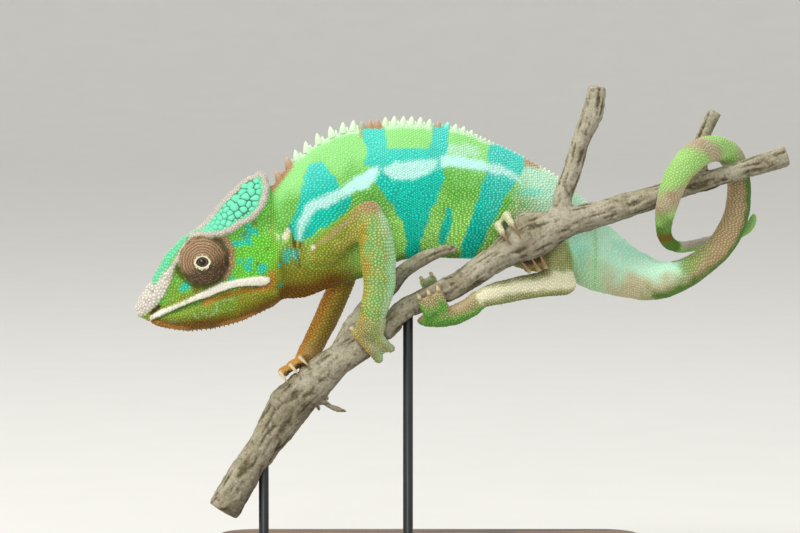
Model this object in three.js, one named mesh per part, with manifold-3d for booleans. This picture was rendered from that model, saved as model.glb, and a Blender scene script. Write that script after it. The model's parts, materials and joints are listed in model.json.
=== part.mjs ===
// A still, life-size model of an adult male panther chameleon gripping a cut length of branch on a display stand.
// Millimetres, +Z up. The animal faces -X, its left side faces -Y, and the base's underside is at Z = 0.
import * as THREE from 'three';
import Module from 'manifold-3d';
import { ParametricGeometry } from 'three/addons/geometries/ParametricGeometry.js';
import { mergeVertices } from 'three/addons/utils/BufferGeometryUtils.js';

const wasm = await Module();
wasm.setup();

const WELD = 1e-4;
const GAP = 0.3;
const AROUND = { trunk: 22, head: 24, jaw: 16, tail: 10, limb: 10, palm: 8, toe: 6, claw: 4, branch: 12, twig: 8 };

const BASE = { length: 130, depth: 84, height: 8, corner: 12, bevel: 1 };
const ROD = { radius: 1.5, flangeRadius: 4.5, flangeHeight: 1.6, sunk: 2.2, sides: 12 };
const ROD_X = [-50, -6.6];

const HEAD_YAW = THREE.MathUtils.degToRad(8);
const HEAD_PIVOT = new THREE.Vector3(-46, 4.8, 0);
const EYE = { x: -69.1, z: 93.9, inset: 6.1, turret: 7, wall: 0.9, opening: 1.75, ball: 5.7, lid: 0.55 };
const NECK_REAR = -37.5;

const SIDE = new THREE.Vector3(0, 1, 0);

/** Smooth row of numbers between evenly numbered rows, at row number t. */
function between(rows, t) {
  const last = rows.length - 1;
  const i = Math.min(Math.max(Math.floor(t), 0), last - 1);
  const f = t - i;
  const a = rows[Math.max(i - 1, 0)];
  const b = rows[i];
  const c = rows[i + 1];
  const d = rows[Math.min(i + 2, last)];
  return b.map((value, k) => {
    const inward = (c[k] - a[k]) / 2;
    const outward = (d[k] - value) / 2;
    const bend = 3 * (c[k] - value) - 2 * inward - outward;
    const twist = 2 * (value - c[k]) + inward + outward;
    return value + inward * f + bend * f * f + twist * f * f * f;
  });
}

/** Closed manifold body of a three.js geometry. */
function solid(geometry) {
  geometry.deleteAttribute('normal');
  geometry.deleteAttribute('uv');
  const welded = mergeVertices(geometry, WELD);
  const corners = welded.index.array;
  const points = welded.attributes.position.array;
  const kept = [];
  let volume = 0;
  const [p, q, r] = [new THREE.Vector3(), new THREE.Vector3(), new THREE.Vector3()];
  for (let i = 0; i < corners.length; i += 3) {
    const [a, b, c] = corners.slice(i, i + 3);
    if (a === b || b === c || c === a) {
      continue;
    }
    kept.push(a, b, c);
    p.fromArray(points, a * 3);
    q.fromArray(points, b * 3);
    r.fromArray(points, c * 3);
    volume += p.dot(q.cross(r));
  }
  if (volume < 0) {
    kept.reverse();
  }
  const mesh = new wasm.Mesh({ numProp: 3, vertProperties: points, triVerts: new Uint32Array(kept) });
  return new wasm.Manifold(mesh);
}

/** Closed skin over numbered rings: place(row, turn) gives each point; the end rings shrink to points. */
function skin(rows, around, place) {
  const geometry = new ParametricGeometry((u, v, target) => {
    target.copy(place(v * rows, (u % 1) * 2 * Math.PI));
  }, around, rows);
  return solid(geometry);
}

/**
 * Body part with upright sections. Each rib is [top x, top z, bottom x, bottom z, half width, y];
 * section(rib, turn) gives how far along the chord and how far to the side a point lies.
 */
function ribbed(ribs, perRib, around, section, grow = 0) {
  const inner = (ribs.length - 1) * perRib;
  return skin(inner + 2, around, (row, turn) => {
    const rib = between(ribs, Math.min(Math.max(row - 1, 0), inner) / perRib);
    const top = new THREE.Vector3(rib[0], rib[5], rib[1]);
    const bottom = new THREE.Vector3(rib[2], rib[5], rib[3]);
    const down = bottom.clone().sub(top).normalize();
    top.addScaledVector(down, -grow);
    bottom.addScaledVector(down, grow);
    if (row < 0.5 || row > inner + 1.5) {
      return top.lerp(bottom, 0.5);
    }
    const [along, side] = section(rib, turn);
    const point = top.lerp(bottom, along);
    point.y += side + Math.sign(side) * grow;
    return point;
  });
}

/** Pressed oval with a keel above and a softer edge below. */
function trunkSection(rib, turn) {
  const up = Math.cos(turn);
  const keel = 1 - 0.5 * Math.max(0, up) ** 2;
  const belly = 1 - 0.28 * Math.max(0, -up) ** 2;
  return [(1 - up) / 2, rib[4] * Math.sin(turn) * keel * belly];
}

/** Half profile through named points [along, side], walked from the top down and mirrored back. */
function mirrored(profile, turn, around) {
  const half = around / 2;
  const step = Math.round((turn / (2 * Math.PI)) * around);
  const walked = step <= half ? step : around - step;
  const [along, side] = between(profile, (walked / half) * (profile.length - 1));
  const edge = walked === 0 || walked === half ? 0 : side;
  return [along, step <= half ? edge : -edge];
}

/** Head section: gable roof, lateral crest, hollow under the crest, cheek and flat palate. */
function headSection(rib, turn) {
  const [crest, crestHalf, cheek] = rib.slice(6);
  const profile = [
    [0, 0],
    [crest * 0.4, crestHalf * 0.62],
    [crest, crestHalf],
    [crest + (1 - crest) * 0.22, crestHalf * 0.86 + cheek * 0.06],
    [crest + (1 - crest) * 0.62, cheek],
    [0.97, rib[4]],
    [1, 0],
  ];
  return mirrored(profile, turn, AROUND.head);
}

/** Lower jaw section: flat above, full sides, rounded keel below. */
function jawSection(rib, turn) {
  const half = rib[4];
  const profile = [[0, 0], [0.04, half], [0.5, half * 0.94], [0.85, half * 0.55], [1, 0]];
  return mirrored(profile, turn, AROUND.jaw);
}

/** Frame across a path: tangent, in-plane normal and side. */
function frameAt(stations, t, side) {
  const step = 0.02;
  const last = stations.length - 1;
  const ahead = new THREE.Vector3(...between(stations, Math.min(t + step, last)).slice(0, 3));
  const behind = new THREE.Vector3(...between(stations, Math.max(t - step, 0)).slice(0, 3));
  const tangent = ahead.sub(behind).normalize();
  const normal = new THREE.Vector3().crossVectors(side, tangent).normalize();
  return { tangent, normal, across: new THREE.Vector3().crossVectors(tangent, normal) };
}

/** Limb through stations [x, y, z, in-plane radius, side radius], round-ended or sawn off flat. */
function limb(stations, { around = AROUND.limb, perStation = 1, side = SIDE, grow = 0, caps = 1, sawn = false } = {}) {
  const inner = (stations.length - 1) * perStation;
  const rows = inner + 2 * caps;
  return skin(rows, around, (row, turn) => {
    const t = Math.min(Math.max(row - caps, 0), inner) / perStation;
    const [x, y, z, thick, wide] = between(stations, t);
    const { tangent, normal, across } = frameAt(stations, t, side);
    const past = (Math.max(caps - row, 0) - Math.max(row - caps - inner, 0)) / caps;
    const swing = (past * Math.PI) / 2;
    const share = Math.abs(past) > 0.999 ? 0 : Math.cos(swing);
    const cap = sawn ? 0 : -Math.sin(swing) * (Math.min(thick, wide) + grow);
    return new THREE.Vector3(x, y, z)
      .addScaledVector(tangent, cap)
      .addScaledVector(normal, Math.cos(turn) * share * (thick + grow))
      .addScaledVector(across, Math.sin(turn) * share * (wide + grow));
  });
}

/** Five-sided spine standing on a point and leaning along a direction. */
function spine(foot, tip, radius) {
  const length = tip.distanceTo(foot);
  const cone = new THREE.ConeGeometry(radius, length, AROUND.claw);
  cone.translate(0, length / 2, 0);
  cone.applyQuaternion(new THREE.Quaternion().setFromUnitVectors(new THREE.Vector3(0, 1, 0), tip.clone().sub(foot).normalize()));
  cone.translate(foot.x, foot.y, foot.z);
  return solid(cone);
}

/** Union of a list of bodies. */
function joined(bodies) {
  return bodies.reduce((whole, body) => whole.add(body));
}

/** Upright slab across X, thin or as wide as asked. */
function slab(fromX, toX) {
  const box = new THREE.BoxGeometry(toX - fromX, 200, 400);
  box.translate((fromX + toX) / 2, 0, 150);
  return solid(box);
}

/** Ball with semi-axes. */
function ball(centre, radii, around = 16) {
  const sphere = new THREE.SphereGeometry(1, around, Math.round(around * 0.6));
  sphere.scale(...radii);
  sphere.translate(centre.x, centre.y, centre.z);
  return solid(sphere);
}

// ---------------------------------------------------------------- perch

// Main branch: [x, y, z, in-plane radius, side radius], from the lower cut end up to the higher one.
const BRANCH = [
  [-62.4, 0, 18.3, 5.6, 5.4],
  [-56.1, 0, 28.8, 5.4, 5.2],
  [-49.8, 0, 38.1, 5.2, 5.2],
  [-42.3, 0, 50.1, 7, 6.2],
  [-35.4, 0, 57, 6.2, 5.8],
  [-27.9, 0, 63.9, 4.9, 4.9],
  [-18.6, 0, 69, 4, 4],
  [-6.9, 0, 79.5, 4, 4],
  [8.4, 0, 86.7, 4.3, 4.3],
  [20.7, 0, 95.1, 4.7, 4.6],
  [30, 0, 101.1, 7.8, 6],
  [41.7, 0, 105.6, 4.8, 4.6],
  [51.3, 0, 108, 4.2, 4.2],
  [63.6, 0, 111.8, 4, 4],
  [74.7, 0, 115.8, 3.7, 3.7],
  [83.1, 0, 117.8, 3.4, 3.4],
  [92.4, 0, 120.9, 3.2, 3.2],
  [107.4, 0, 125.4, 3.6, 3.6],
];
const FORK_UP = [
  [39, 0, 107, 3.3, 3.3],
  [39.6, 0, 113, 3.3, 3.3],
  [42.4, 0, 120, 3.2, 3.2],
  [45.3, 0, 130, 3.2, 3.2],
  [48.6, 0, 137.4, 3.9, 3.7],
  [50.1, 0, 146.4, 3.1, 3.1],
];
const FORK_TAIL = [
  [81.5, 0, 117.6, 2.6, 2.5],
  [81, 4.4, 122.5, 2.6, 2.4],
  [81.3, 7.6, 128.4, 2.6, 2.4],
  [84, 8.6, 134.6, 2.6, 2.5],
  [86.2, 8.8, 138.6, 2.5, 2.4],
];
const STUB_FAR = [
  [-28.5, 0, 63.3, 4, 3.6],
  [-23.4, 4.4, 72.3, 4.2, 4],
  [-15.6, 6, 81.8, 3.8, 3.6],
  [-9, 4.4, 89.6, 3.1, 3],
  [-4, 1.6, 93.4, 2.7, 2.7],
  [-0.6, -0.6, 95.4, 2.5, 2.5],
  [3.4, -2.4, 96.9, 2.3, 2.3],
  [7.6, -3.6, 97.7, 1.9, 1.9],
];
const SNAG = [
  [-33.6, 0, 53.4, 1.7, 1.7],
  [-30.6, 0, 50.2, 1.5, 1.5],
  [-27.6, 0, 48.9, 1.8, 1.6],
  [-24.9, 0, 48.5, 1.1, 1.1],
];

/** Centre, radii and direction of the main branch above a given X. */
function branchAt(x) {
  let low = 0;
  let high = BRANCH.length - 1;
  for (let i = 0; i < 30; i += 1) {
    const middle = (low + high) / 2;
    if (between(BRANCH, middle)[0] < x) {
      low = middle;
    } else {
      high = middle;
    }
  }
  const [bx, by, bz, inPlane, side] = between(BRANCH, low);
  const { tangent, normal } = frameAt(BRANCH, low, SIDE);
  const up = normal.z > 0 ? normal : normal.negate();
  return { centre: new THREE.Vector3(bx, by, bz), inPlane, side, along: tangent, up };
}

const branchGrown = limb(BRANCH, { around: AROUND.branch, grow: GAP });

/** Perch nodes, each fork parted from the main branch. */
function perch() {
  const rods = ROD_X.map((x) => rodHole(x));
  const main = limb(BRANCH, { around: AROUND.branch, sawn: true });
  const twig = (stations, sawn) => limb(stations, { around: AROUND.twig, sawn }).subtract(branchGrown);
  return {
    perch_branch: rods.reduce((body, hole) => body.subtract(hole), main),
    perch_fork_up: twig(FORK_UP, true),
    perch_fork_tail: twig(FORK_TAIL, true),
    perch_stub_far: largest(twig(STUB_FAR, false)),
    perch_snag: largest(twig(SNAG, false)),
  };
}

/** The largest separate piece of a body. */
function largest(body) {
  const pieces = body.decompose();
  return pieces.reduce((best, piece) => (piece.volume() > best.volume() ? piece : best));
}

// ---------------------------------------------------------------- stand

/** Height at which a rod at X ends inside the branch. */
function rodTop(x) {
  const { centre, inPlane, along } = branchAt(x);
  return centre.z - inPlane / Math.abs(along.x) + ROD.sunk / Math.abs(along.x);
}

/** Clearance hole for a rod in the branch's underside. */
function rodHole(x) {
  const top = rodTop(x) + GAP;
  const length = 14;
  const bore = new THREE.CylinderGeometry(ROD.radius + GAP, ROD.radius + GAP, length, ROD.sides);
  bore.rotateX(Math.PI / 2);
  bore.translate(x, 0, top - length / 2);
  return solid(bore);
}

/** Stand nodes: flat base and two flanged rods. */
function stand() {
  const { length, depth, height, corner, bevel } = BASE;
  const [halfX, halfY] = [length / 2 - bevel, depth / 2 - bevel];
  const plan = new THREE.Shape();
  plan.moveTo(-halfX + corner, -halfY);
  plan.lineTo(halfX - corner, -halfY);
  plan.absarc(halfX - corner, -halfY + corner, corner, -Math.PI / 2, 0);
  plan.absarc(halfX - corner, halfY - corner, corner, 0, Math.PI / 2);
  plan.absarc(-halfX + corner, halfY - corner, corner, Math.PI / 2, Math.PI);
  plan.absarc(-halfX + corner, -halfY + corner, corner, Math.PI, 1.5 * Math.PI);
  const depthOfPlate = height - bevel;
  const plate = new THREE.ExtrudeGeometry(plan, {
    depth: depthOfPlate - bevel, bevelEnabled: true, bevelThickness: bevel, bevelSize: bevel, bevelSegments: 1, curveSegments: 4,
  });
  plate.translate(0, 0, bevel);
  const nodes = { stand_base: solid(plate) };
  const floor = height;
  ROD_X.forEach((x, i) => {
    const { radius, flangeRadius, flangeHeight, sides } = ROD;
    const outline = [[0, 0], [flangeRadius, 0], [flangeRadius, flangeHeight * 0.6], [radius, flangeHeight], [radius, rodTop(x) - floor], [0, rodTop(x) - floor]];
    const rod = new THREE.LatheGeometry(outline.map(([r, h]) => new THREE.Vector2(r, h)), sides);
    rod.rotateX(Math.PI / 2);
    rod.translate(x, 0, floor);
    nodes[`stand_rod_${i + 1}`] = solid(rod);
  });
  return nodes;
}

// ---------------------------------------------------------------- trunk, neck and tail

// Ribs of neck, trunk and tail root: [top x, top z, bottom x, bottom z, half width, y].
const TRUNK = [
  [-50.4, 114, -51.6, 83, 6.2, 4.3],
  [-46.2, 118, -46.2, 81, 7.1, 4.8],
  [-42.6, 122.8, -42, 81.4, 7.5, 5.2],
  [-38.7, 126.2, -37.2, 81.7, 8, 5.6],
  [-33, 130.2, -31.5, 84, 8.6, 6.1],
  [-26.8, 133, -25.5, 85.8, 9.1, 6.6],
  [-18.6, 134.4, -17.4, 88.8, 9.5, 7.1],
  [-10.5, 135.4, -9, 93, 9.6, 7.6],
  [-1.5, 135.3, -0.6, 93.9, 9.4, 8.5],
  [7.5, 133.9, 7.5, 93.3, 8.9, 9.8],
  [16.5, 131, 15, 93, 8.3, 11.3],
  [25.5, 126.5, 23, 93.3, 7.6, 13],
  [34.5, 121.8, 29.6, 94.5, 7, 14.5],
  [41.4, 117.3, 36, 91.6, 6.7, 15],
  [47.6, 112, 42.2, 86.2, 6.5, 14.7],
  [54, 105, 49.4, 83.2, 6.2, 13.4],
  [60.2, 99.6, 57.4, 81.6, 5.8, 11.4],
  [66, 94.9, 65.6, 80.5, 5.2, 8.3],
  [73.6, 94.2, 73.8, 82.8, 4.7, 5],
];
const TAIL_CUT = 50;
const TAIL_JOIN = 65;

// Tail from inside its root to the tip: [x, y, z, in-plane radius, side radius].
const TAIL = [
  [56.5, 12.2, 91.6, 9.4, 5.9],
  [66, 8.2, 87.7, 7.2, 5.2],
  [73.5, 5, 88.4, 5.7, 4.7],
  [80.4, 1.6, 92.1, 4.7, 4.4],
  [86.4, 0.6, 97.2, 4.6, 4.3],
  [90.3, 2.4, 102.9, 4.6, 4.3],
  [92.6, 5.2, 108.9, 4.4, 4.2],
  [93.3, 8.6, 114.9, 4.2, 4],
  [92.9, 9, 119.6, 4.2, 4],
  [90.8, 6.6, 124.9, 4.3, 4.1],
  [86.4, 0.8, 127.5, 4.3, 4.2],
  [81.6, -4.4, 127, 4.8, 4.5],
  [77.2, -7.4, 124.3, 4.8, 4.5],
  [73.8, -8.7, 120, 4.5, 4.3],
  [71.8, -8.4, 115.5, 4.2, 4.1],
  [70.5, -6.8, 110.4, 3.7, 3.7],
  [69.8, -4.7, 105.8, 3.2, 3.2],
  [70.2, -1.8, 101.5, 2.75, 2.75],
  [72.5, 1.7, 98.5, 2.5, 2.5],
  [76.2, 5.2, 97.6, 2.35, 2.35],
  [80.8, 8.8, 98.2, 2.25, 2.25],
  [85.8, 11.6, 99.3, 2.2, 2.2],
  [90.6, 13.2, 100.3, 2.1, 2.1],
  [94.8, 13.4, 101.6, 2, 2],
  [97.4, 12.4, 104.2, 1.9, 1.9],
  [98, 11.6, 106.6, 1.7, 1.7],
];
const TAIL_NAMES = ['tail_lower', 'tail_outer', 'tail_top', 'tail_inner', 'tail_end'];
// Station numbers at which the tail's lengths part.
const TAIL_PARTS = [6.5, 10.5, 14.6, 19];

// Crest spines of the neck and back: first and last X, pitch, and height from front to rear.
const CREST = { from: -46.3, to: 14, pitch: 2.85, tall: 2.7, low: 1.3, radius: 1.05, lean: 0.35 };

/** Thin cut square to the tail at a station number. */
function tailCut(station) {
  const [x, y, z, thick] = between(TAIL, station);
  const { tangent } = frameAt(TAIL, station, SIDE);
  const reach = thick + 2;
  const disc = new THREE.CylinderGeometry(reach, reach, GAP, 24);
  disc.applyQuaternion(new THREE.Quaternion().setFromUnitVectors(new THREE.Vector3(0, 1, 0), tangent));
  disc.translate(x, y, z);
  return solid(disc);
}

/** Spines along the back, each leaning to the rear. */
function crest() {
  const spines = [];
  const topRib = (x) => {
    let t = 0;
    while (t < TRUNK.length - 1 && between(TRUNK, t)[0] < x) {
      t += 0.01;
    }
    return between(TRUNK, t);
  };
  for (let x = CREST.from; x <= CREST.to; x += CREST.pitch) {
    const share = (x - CREST.from) / (CREST.to - CREST.from);
    const height = THREE.MathUtils.lerp(CREST.tall, CREST.low, Math.min(1, share * 1.6));
    const rib = topRib(x);
    const foot = new THREE.Vector3(rib[0], rib[5], rib[1] - 0.9);
    const tip = foot.clone().add(new THREE.Vector3(-height * CREST.lean, 0, height + 0.9));
    spines.push(spine(foot, tip, CREST.radius));
  }
  return spines;
}

/** Whole trunk with neck and tail root, grown if asked. */
function trunkBody(grow = 0) {
  return ribbed(TRUNK, 1, AROUND.trunk, trunkSection, grow);
}

/** Neck, trunk and the tail's lengths. */
function backbone(headGrown) {
  const whole = trunkBody();
  const tail = limb(TAIL, { around: AROUND.tail, perStation: 2, caps: 2 });
  const aheadCut = slab(-300, TAIL_CUT - GAP / 2);
  const body = whole.intersect(aheadCut).add(joined(crest())).subtract(headGrown);
  const pieces = body.subtract(slab(NECK_REAR - GAP / 2, NECK_REAR + GAP / 2));
  const nodes = {
    neck: largest(pieces.intersect(slab(-300, NECK_REAR))),
    trunk: largest(pieces.intersect(slab(NECK_REAR, 300))),
  };
  nodes.tail_root = largest(whole.intersect(slab(TAIL_CUT + GAP / 2, TAIL_JOIN - GAP / 2)));
  const coil = tail.intersect(slab(TAIL_JOIN + GAP / 2, 300));
  const lengths = TAIL_PARTS.reduce((left, station) => left.subtract(tailCut(station)), coil).decompose();
  TAIL_NAMES.forEach((name, i) => {
    const from = i === 0 ? 1 : TAIL_PARTS[i - 1];
    const to = i === TAIL_PARTS.length ? TAIL.length - 1 : TAIL_PARTS[i];
    const middle = new THREE.Vector3(...between(TAIL, (from + to) / 2).slice(0, 3));
    nodes[name] = lengths.find((piece) => holds(piece, middle));
  });
  return nodes;
}

/** Whether a point lies inside a body. */
function holds(body, point) {
  return ball(point, [0.4, 0.4, 0.4], 6).intersect(body).volume() > 0.01;
}

// ---------------------------------------------------------------- head

// Upper head: [top x, top z, bottom x, bottom z, lip half width, 0, crest share, crest half, cheek half].
const HEAD = [
  [-89.3, 79.4, -88.3, 77, 2, 0, 0.45, 2.2, 2],
  [-87.3, 83.4, -85.2, 76.3, 3.1, 0, 0.45, 3.4, 2.8],
  [-85.1, 87.2, -81.6, 77, 4, 0, 0.5, 4.2, 3.7],
  [-82.8, 91.5, -78, 78.5, 5, 0, 0.42, 4.9, 4.8],
  [-79.8, 96.8, -74, 80.2, 6, 0, 0.3, 5.4, 6],
  [-75, 101.2, -69, 82, 7, 0, 0.16, 5.9, 7.2],
  [-69.3, 104.6, -62.2, 84.3, 7.8, 0, 0.14, 6.8, 8.2],
  [-63, 112.4, -56.4, 85.5, 8.3, 0, 0.3, 7.6, 9],
  [-56.6, 118.6, -51.6, 86, 8.5, 0, 0.36, 7.7, 9.4],
  [-51.6, 121, -47.6, 86.2, 8.3, 0, 0.36, 7.3, 9.2],
  [-49.2, 119.8, -44.6, 86.6, 7.8, 0, 0.34, 6.6, 8.6],
];

// Lower jaw: [top x, top z, bottom x, bottom z, half width, 0].
const JAW = [
  [-86, 76.3, -84.9, 75, 1.9, 0],
  [-82.4, 76.8, -81.6, 73.6, 3.3, 0],
  [-77.6, 78.2, -77.4, 72.8, 4.9, 0],
  [-73, 80.2, -72.8, 72.2, 6.2, 0],
  [-66, 82.7, -65, 73, 7.3, 0],
  [-58.6, 84.8, -57.6, 74.8, 8, 0],
  [-51.4, 86, -51, 77.6, 8.1, 0],
  [-46, 86.4, -45.4, 80.4, 7.2, 0],
];

/** Turns a body with the head about the neck. */
function yawed(body) {
  const turn = new THREE.Matrix4()
    .makeTranslation(HEAD_PIVOT.x, HEAD_PIVOT.y, 0)
    .multiply(new THREE.Matrix4().makeRotationZ(HEAD_YAW))
    .multiply(new THREE.Matrix4().makeTranslation(-HEAD_PIVOT.x, 0, 0));
  return body.transform(turn.elements);
}

/** Ring body of the eyelid cone, opening outwards along +Z of its own frame. */
function turretProfile() {
  const { turret, wall, opening, lid } = EYE;
  const hollow = turret - wall;
  const edge = Math.asin(opening / turret);
  const outer = [0.02, 0.22, 0.5, 0.8, 1.15, 1.5, 1.85].map((t) => [t === 0.02 ? edge : t, turret]);
  const points = [];
  points.push([opening, hollow * Math.cos(Math.asin(opening / hollow))]);
  points.push([opening + 0.2, turret * Math.cos(edge) + lid * 0.8]);
  points.push([opening + 0.75, turret * Math.cos(edge) + lid * 0.55]);
  outer.slice(2).forEach(([angle, radius]) => points.push([radius * Math.sin(angle), radius * Math.cos(angle)]));
  [1.85, 1.4, 0.95, 0.55].forEach((angle) => points.push([hollow * Math.sin(angle), hollow * Math.cos(angle)]));
  points.push(points[0]);
  return points.map(([r, h]) => new THREE.Vector2(r, h));
}

/** Lid cone and eyeball of one side, in the head's own frame; sign is -1 for the left side. */
function eye(sign) {
  const centre = new THREE.Vector3(EYE.x, sign * EYE.inset, EYE.z);
  const cone = new THREE.LatheGeometry(turretProfile(), 13);
  const outwards = new THREE.Vector3(-0.1, sign, 0.02).normalize();
  cone.applyQuaternion(new THREE.Quaternion().setFromUnitVectors(new THREE.Vector3(0, 1, 0), outwards));
  cone.translate(centre.x, centre.y, centre.z);
  return { turret: solid(cone), eyeball: ball(centre, [EYE.ball, EYE.ball, EYE.ball], 12) };
}

/** Head nodes and the grown head that the neck is cut by. */
function skull() {
  const upper = ribbed(HEAD, 1, AROUND.head, headSection);
  const lower = ribbed(JAW, 1, AROUND.jaw, jawSection);
  const sockets = [-1, 1].map((sign) => {
    const reach = EYE.turret + GAP;
    return ball(new THREE.Vector3(EYE.x, sign * EYE.inset, EYE.z), [reach, reach, reach], 14);
  });
  const upperGrown = ribbed(HEAD, 1, AROUND.head, headSection, GAP);
  const lowerGrown = ribbed(JAW, 1, AROUND.jaw, jawSection, GAP);
  const nodes = {
    head: yawed(largest(sockets.reduce((body, socket) => body.subtract(socket), upper))),
    lower_jaw: yawed(largest(lower.subtract(upperGrown))),
  };
  [-1, 1].forEach((sign) => {
    const { turret, eyeball } = eye(sign);
    const name = sign < 0 ? 'left' : 'right';
    nodes[`eye_turret_${name}`] = yawed(turret);
    nodes[`eyeball_${name}`] = yawed(eyeball);
  });
  return { nodes, grown: yawed(upperGrown.add(lowerGrown)) };
}

// ---------------------------------------------------------------- legs and feet

// Each leg: stations [x, y, z, in-plane radius, side radius] of its upper and lower parts.
const LEGS = {
  front_left: {
    upper: [[-35, 1.5, 94.5, 4.2, 3.8], [-30, -2.6, 97.6, 4.5, 4], [-24.4, -6.6, 103.2, 4.7, 4], [-19, -8.8, 108.6, 4.2, 3.8]],
    lower: [[-17.6, -9.3, 109.4, 3.7, 3.5], [-16.8, -9.6, 105.4, 4.8, 4], [-16, -9.7, 100.4, 5.6, 4.3], [-15.3, -9.4, 94, 5.8, 4.4], [-15.1, -9, 86.6, 5.3, 4.1], [-16.8, -8.6, 79.4, 4.6, 3.9]],
  },
  front_right: {
    upper: [[-33.6, 12, 94.5, 4.2, 3.8], [-29, 15.4, 93.6, 4.3, 3.9], [-24.6, 17.6, 92.6, 3.9, 3.6]],
    lower: [[-23.8, 18, 92, 3.6, 3.5], [-26.8, 17, 85.6, 4.2, 3.9], [-29.8, 15.4, 79, 4.3, 4], [-32.8, 13, 72.6, 4.1, 3.9], [-35.4, 10.6, 67.4, 4, 3.8]],
  },
  hind_left: {
    upper: [[36.4, 11, 105.6, 3.8, 3.5], [37.4, 9.9, 99.4, 3.9, 3.7], [38.1, 8.6, 94.8, 4.5, 4], [38.8, 7.4, 90, 5.1, 4.2], [39.6, 6.6, 87.2, 4.6, 4]],
    lower: [[41, 6.8, 86.8, 4.4, 4], [34, 5, 86.5, 4.3, 3.9], [27, 3.2, 85.3, 4.2, 3.8], [20.6, 0.2, 84.2, 4, 3.6], [15.8, -2.6, 83, 3.5, 3.1]],
  },
  hind_right: {
    upper: [[40, 18.6, 107, 4.2, 3.8], [42.6, 20.6, 99, 4.5, 4], [43.4, 21, 91.8, 4.1, 3.8]],
    lower: [[43, 21, 91, 3.9, 3.7], [36.4, 19.8, 91.8, 3.7, 3.6], [30.4, 17.4, 92.8, 3.5, 3.4], [26.4, 14.4, 93.8, 3.3, 3.2]],
  },
};

// Each foot: branch X, palm stations, and toe bundles swept round the branch in degrees. 0 faces the left side, 90 is above.
const FEET = {
  front_left: {
    x: -18.4,
    palm: [[-17, -8.4, 79, 4.4, 3.8], [-17.9, -7.1, 74, 4.9, 3.4]],
    toe: 2,
    bundles: [
      { name: 'outer', toes: 2, from: 30, to: -96, offset: 1.2, spread: 3.3 },
      { name: 'inner', toes: 3, from: 38, to: 60, offset: 1, spread: 2.4, rooted: true },
    ],
  },
  front_right: {
    x: -36.4,
    palm: [[-35.8, 10.2, 66.8, 3.9, 3.6], [-37.4, 7.4, 63, 4, 3.4]],
    toe: 1.75,
    bundles: [
      { name: 'inner', toes: 3, from: 124, to: 70, offset: 0.4, spread: 3 },
      { name: 'outer', toes: 2, from: 158, to: 222, offset: -0.6, spread: 3 },
    ],
  },
  hind_left: {
    x: 0.6,
    palm: [[15, -2.4, 82.6, 3.4, 3.2], [11.8, -2.2, 79.8, 3.3, 3.5], [7.4, -1.5, 77.5, 3.3, 3.8], [3, -0.8, 77, 3.4, 4.1], [-1.4, 0, 76.8, 3.1, 4.2]],
    toe: 1.75,
    bundles: [
      { name: 'outer', toes: 3, from: -66, to: 8, offset: -0.4, spread: 3 },
      { name: 'inner', toes: 2, from: -114, to: -246, offset: 0.6, spread: 3.2 },
    ],
  },
  hind_right: {
    x: 26.8,
    palm: [[25.8, 13.8, 94.2, 3.2, 3.2], [26.4, 10.6, 97.6, 3.8, 3.2]],
    root: [26.6, 8.2, 97.2],
    toe: 1.7,
    bundles: [
      { name: 'inner', toes: 2, from: 146, to: 40, offset: -0.6, spread: 3.2, rooted: true },
      { name: 'outer', toes: 3, from: 204, to: 284, offset: 0.6, spread: 2.9, rooted: true },
    ],
  },
};
const CLAW = { start: 0.5, length: 3.4, radius: 0.8, tip: 0.25 };

/** Stations of one toe and of its claw, swept round the branch. */
function toe(foot, bundle, index) {
  const shift = (index - (bundle.toes - 1) / 2) * bundle.spread;
  const sweep = bundle.to - bundle.from;
  const length = 4;
  const point = (share, lift) => {
    const fan = 1 + 0.16 * share;
    const held = branchAt(foot.x + bundle.offset + shift * fan * 0.8);
    const angle = THREE.MathUtils.degToRad(bundle.from + sweep * share);
    return held.centre.clone()
      .addScaledVector(SIDE, -Math.cos(angle) * (held.side + lift))
      .addScaledVector(held.up, Math.sin(angle) * (held.inPlane + lift));
  };
  const [rootX, rootY, rootZ] = foot.root ?? foot.palm[foot.palm.length - 1];
  const thick = foot.toe * 1.12;
  const stations = bundle.rooted ? [[rootX + shift * 0.6, rootY, rootZ, thick, thick]] : [];
  for (let i = 0; i < length; i += 1) {
    const share = i / (length - 1);
    const radius = foot.toe * (1.12 - 0.3 * share);
    const at = point(share, radius + GAP + 0.05);
    stations.push([at.x, at.y, at.z, radius, radius]);
  }
  const claw = [0, 0.5, 1].map((share) => {
    const along = 1 + (CLAW.start + share * CLAW.length) / ((Math.abs(sweep) * Math.PI * 7) / 180);
    const radius = THREE.MathUtils.lerp(CLAW.radius, CLAW.tip, share);
    const at = point(along, foot.toe * 0.82 + 0.6 - 0.9 * share * share);
    return [at.x, at.y, at.z, radius, radius];
  });
  return { stations, claw, side: branchAt(foot.x).along };
}

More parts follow.
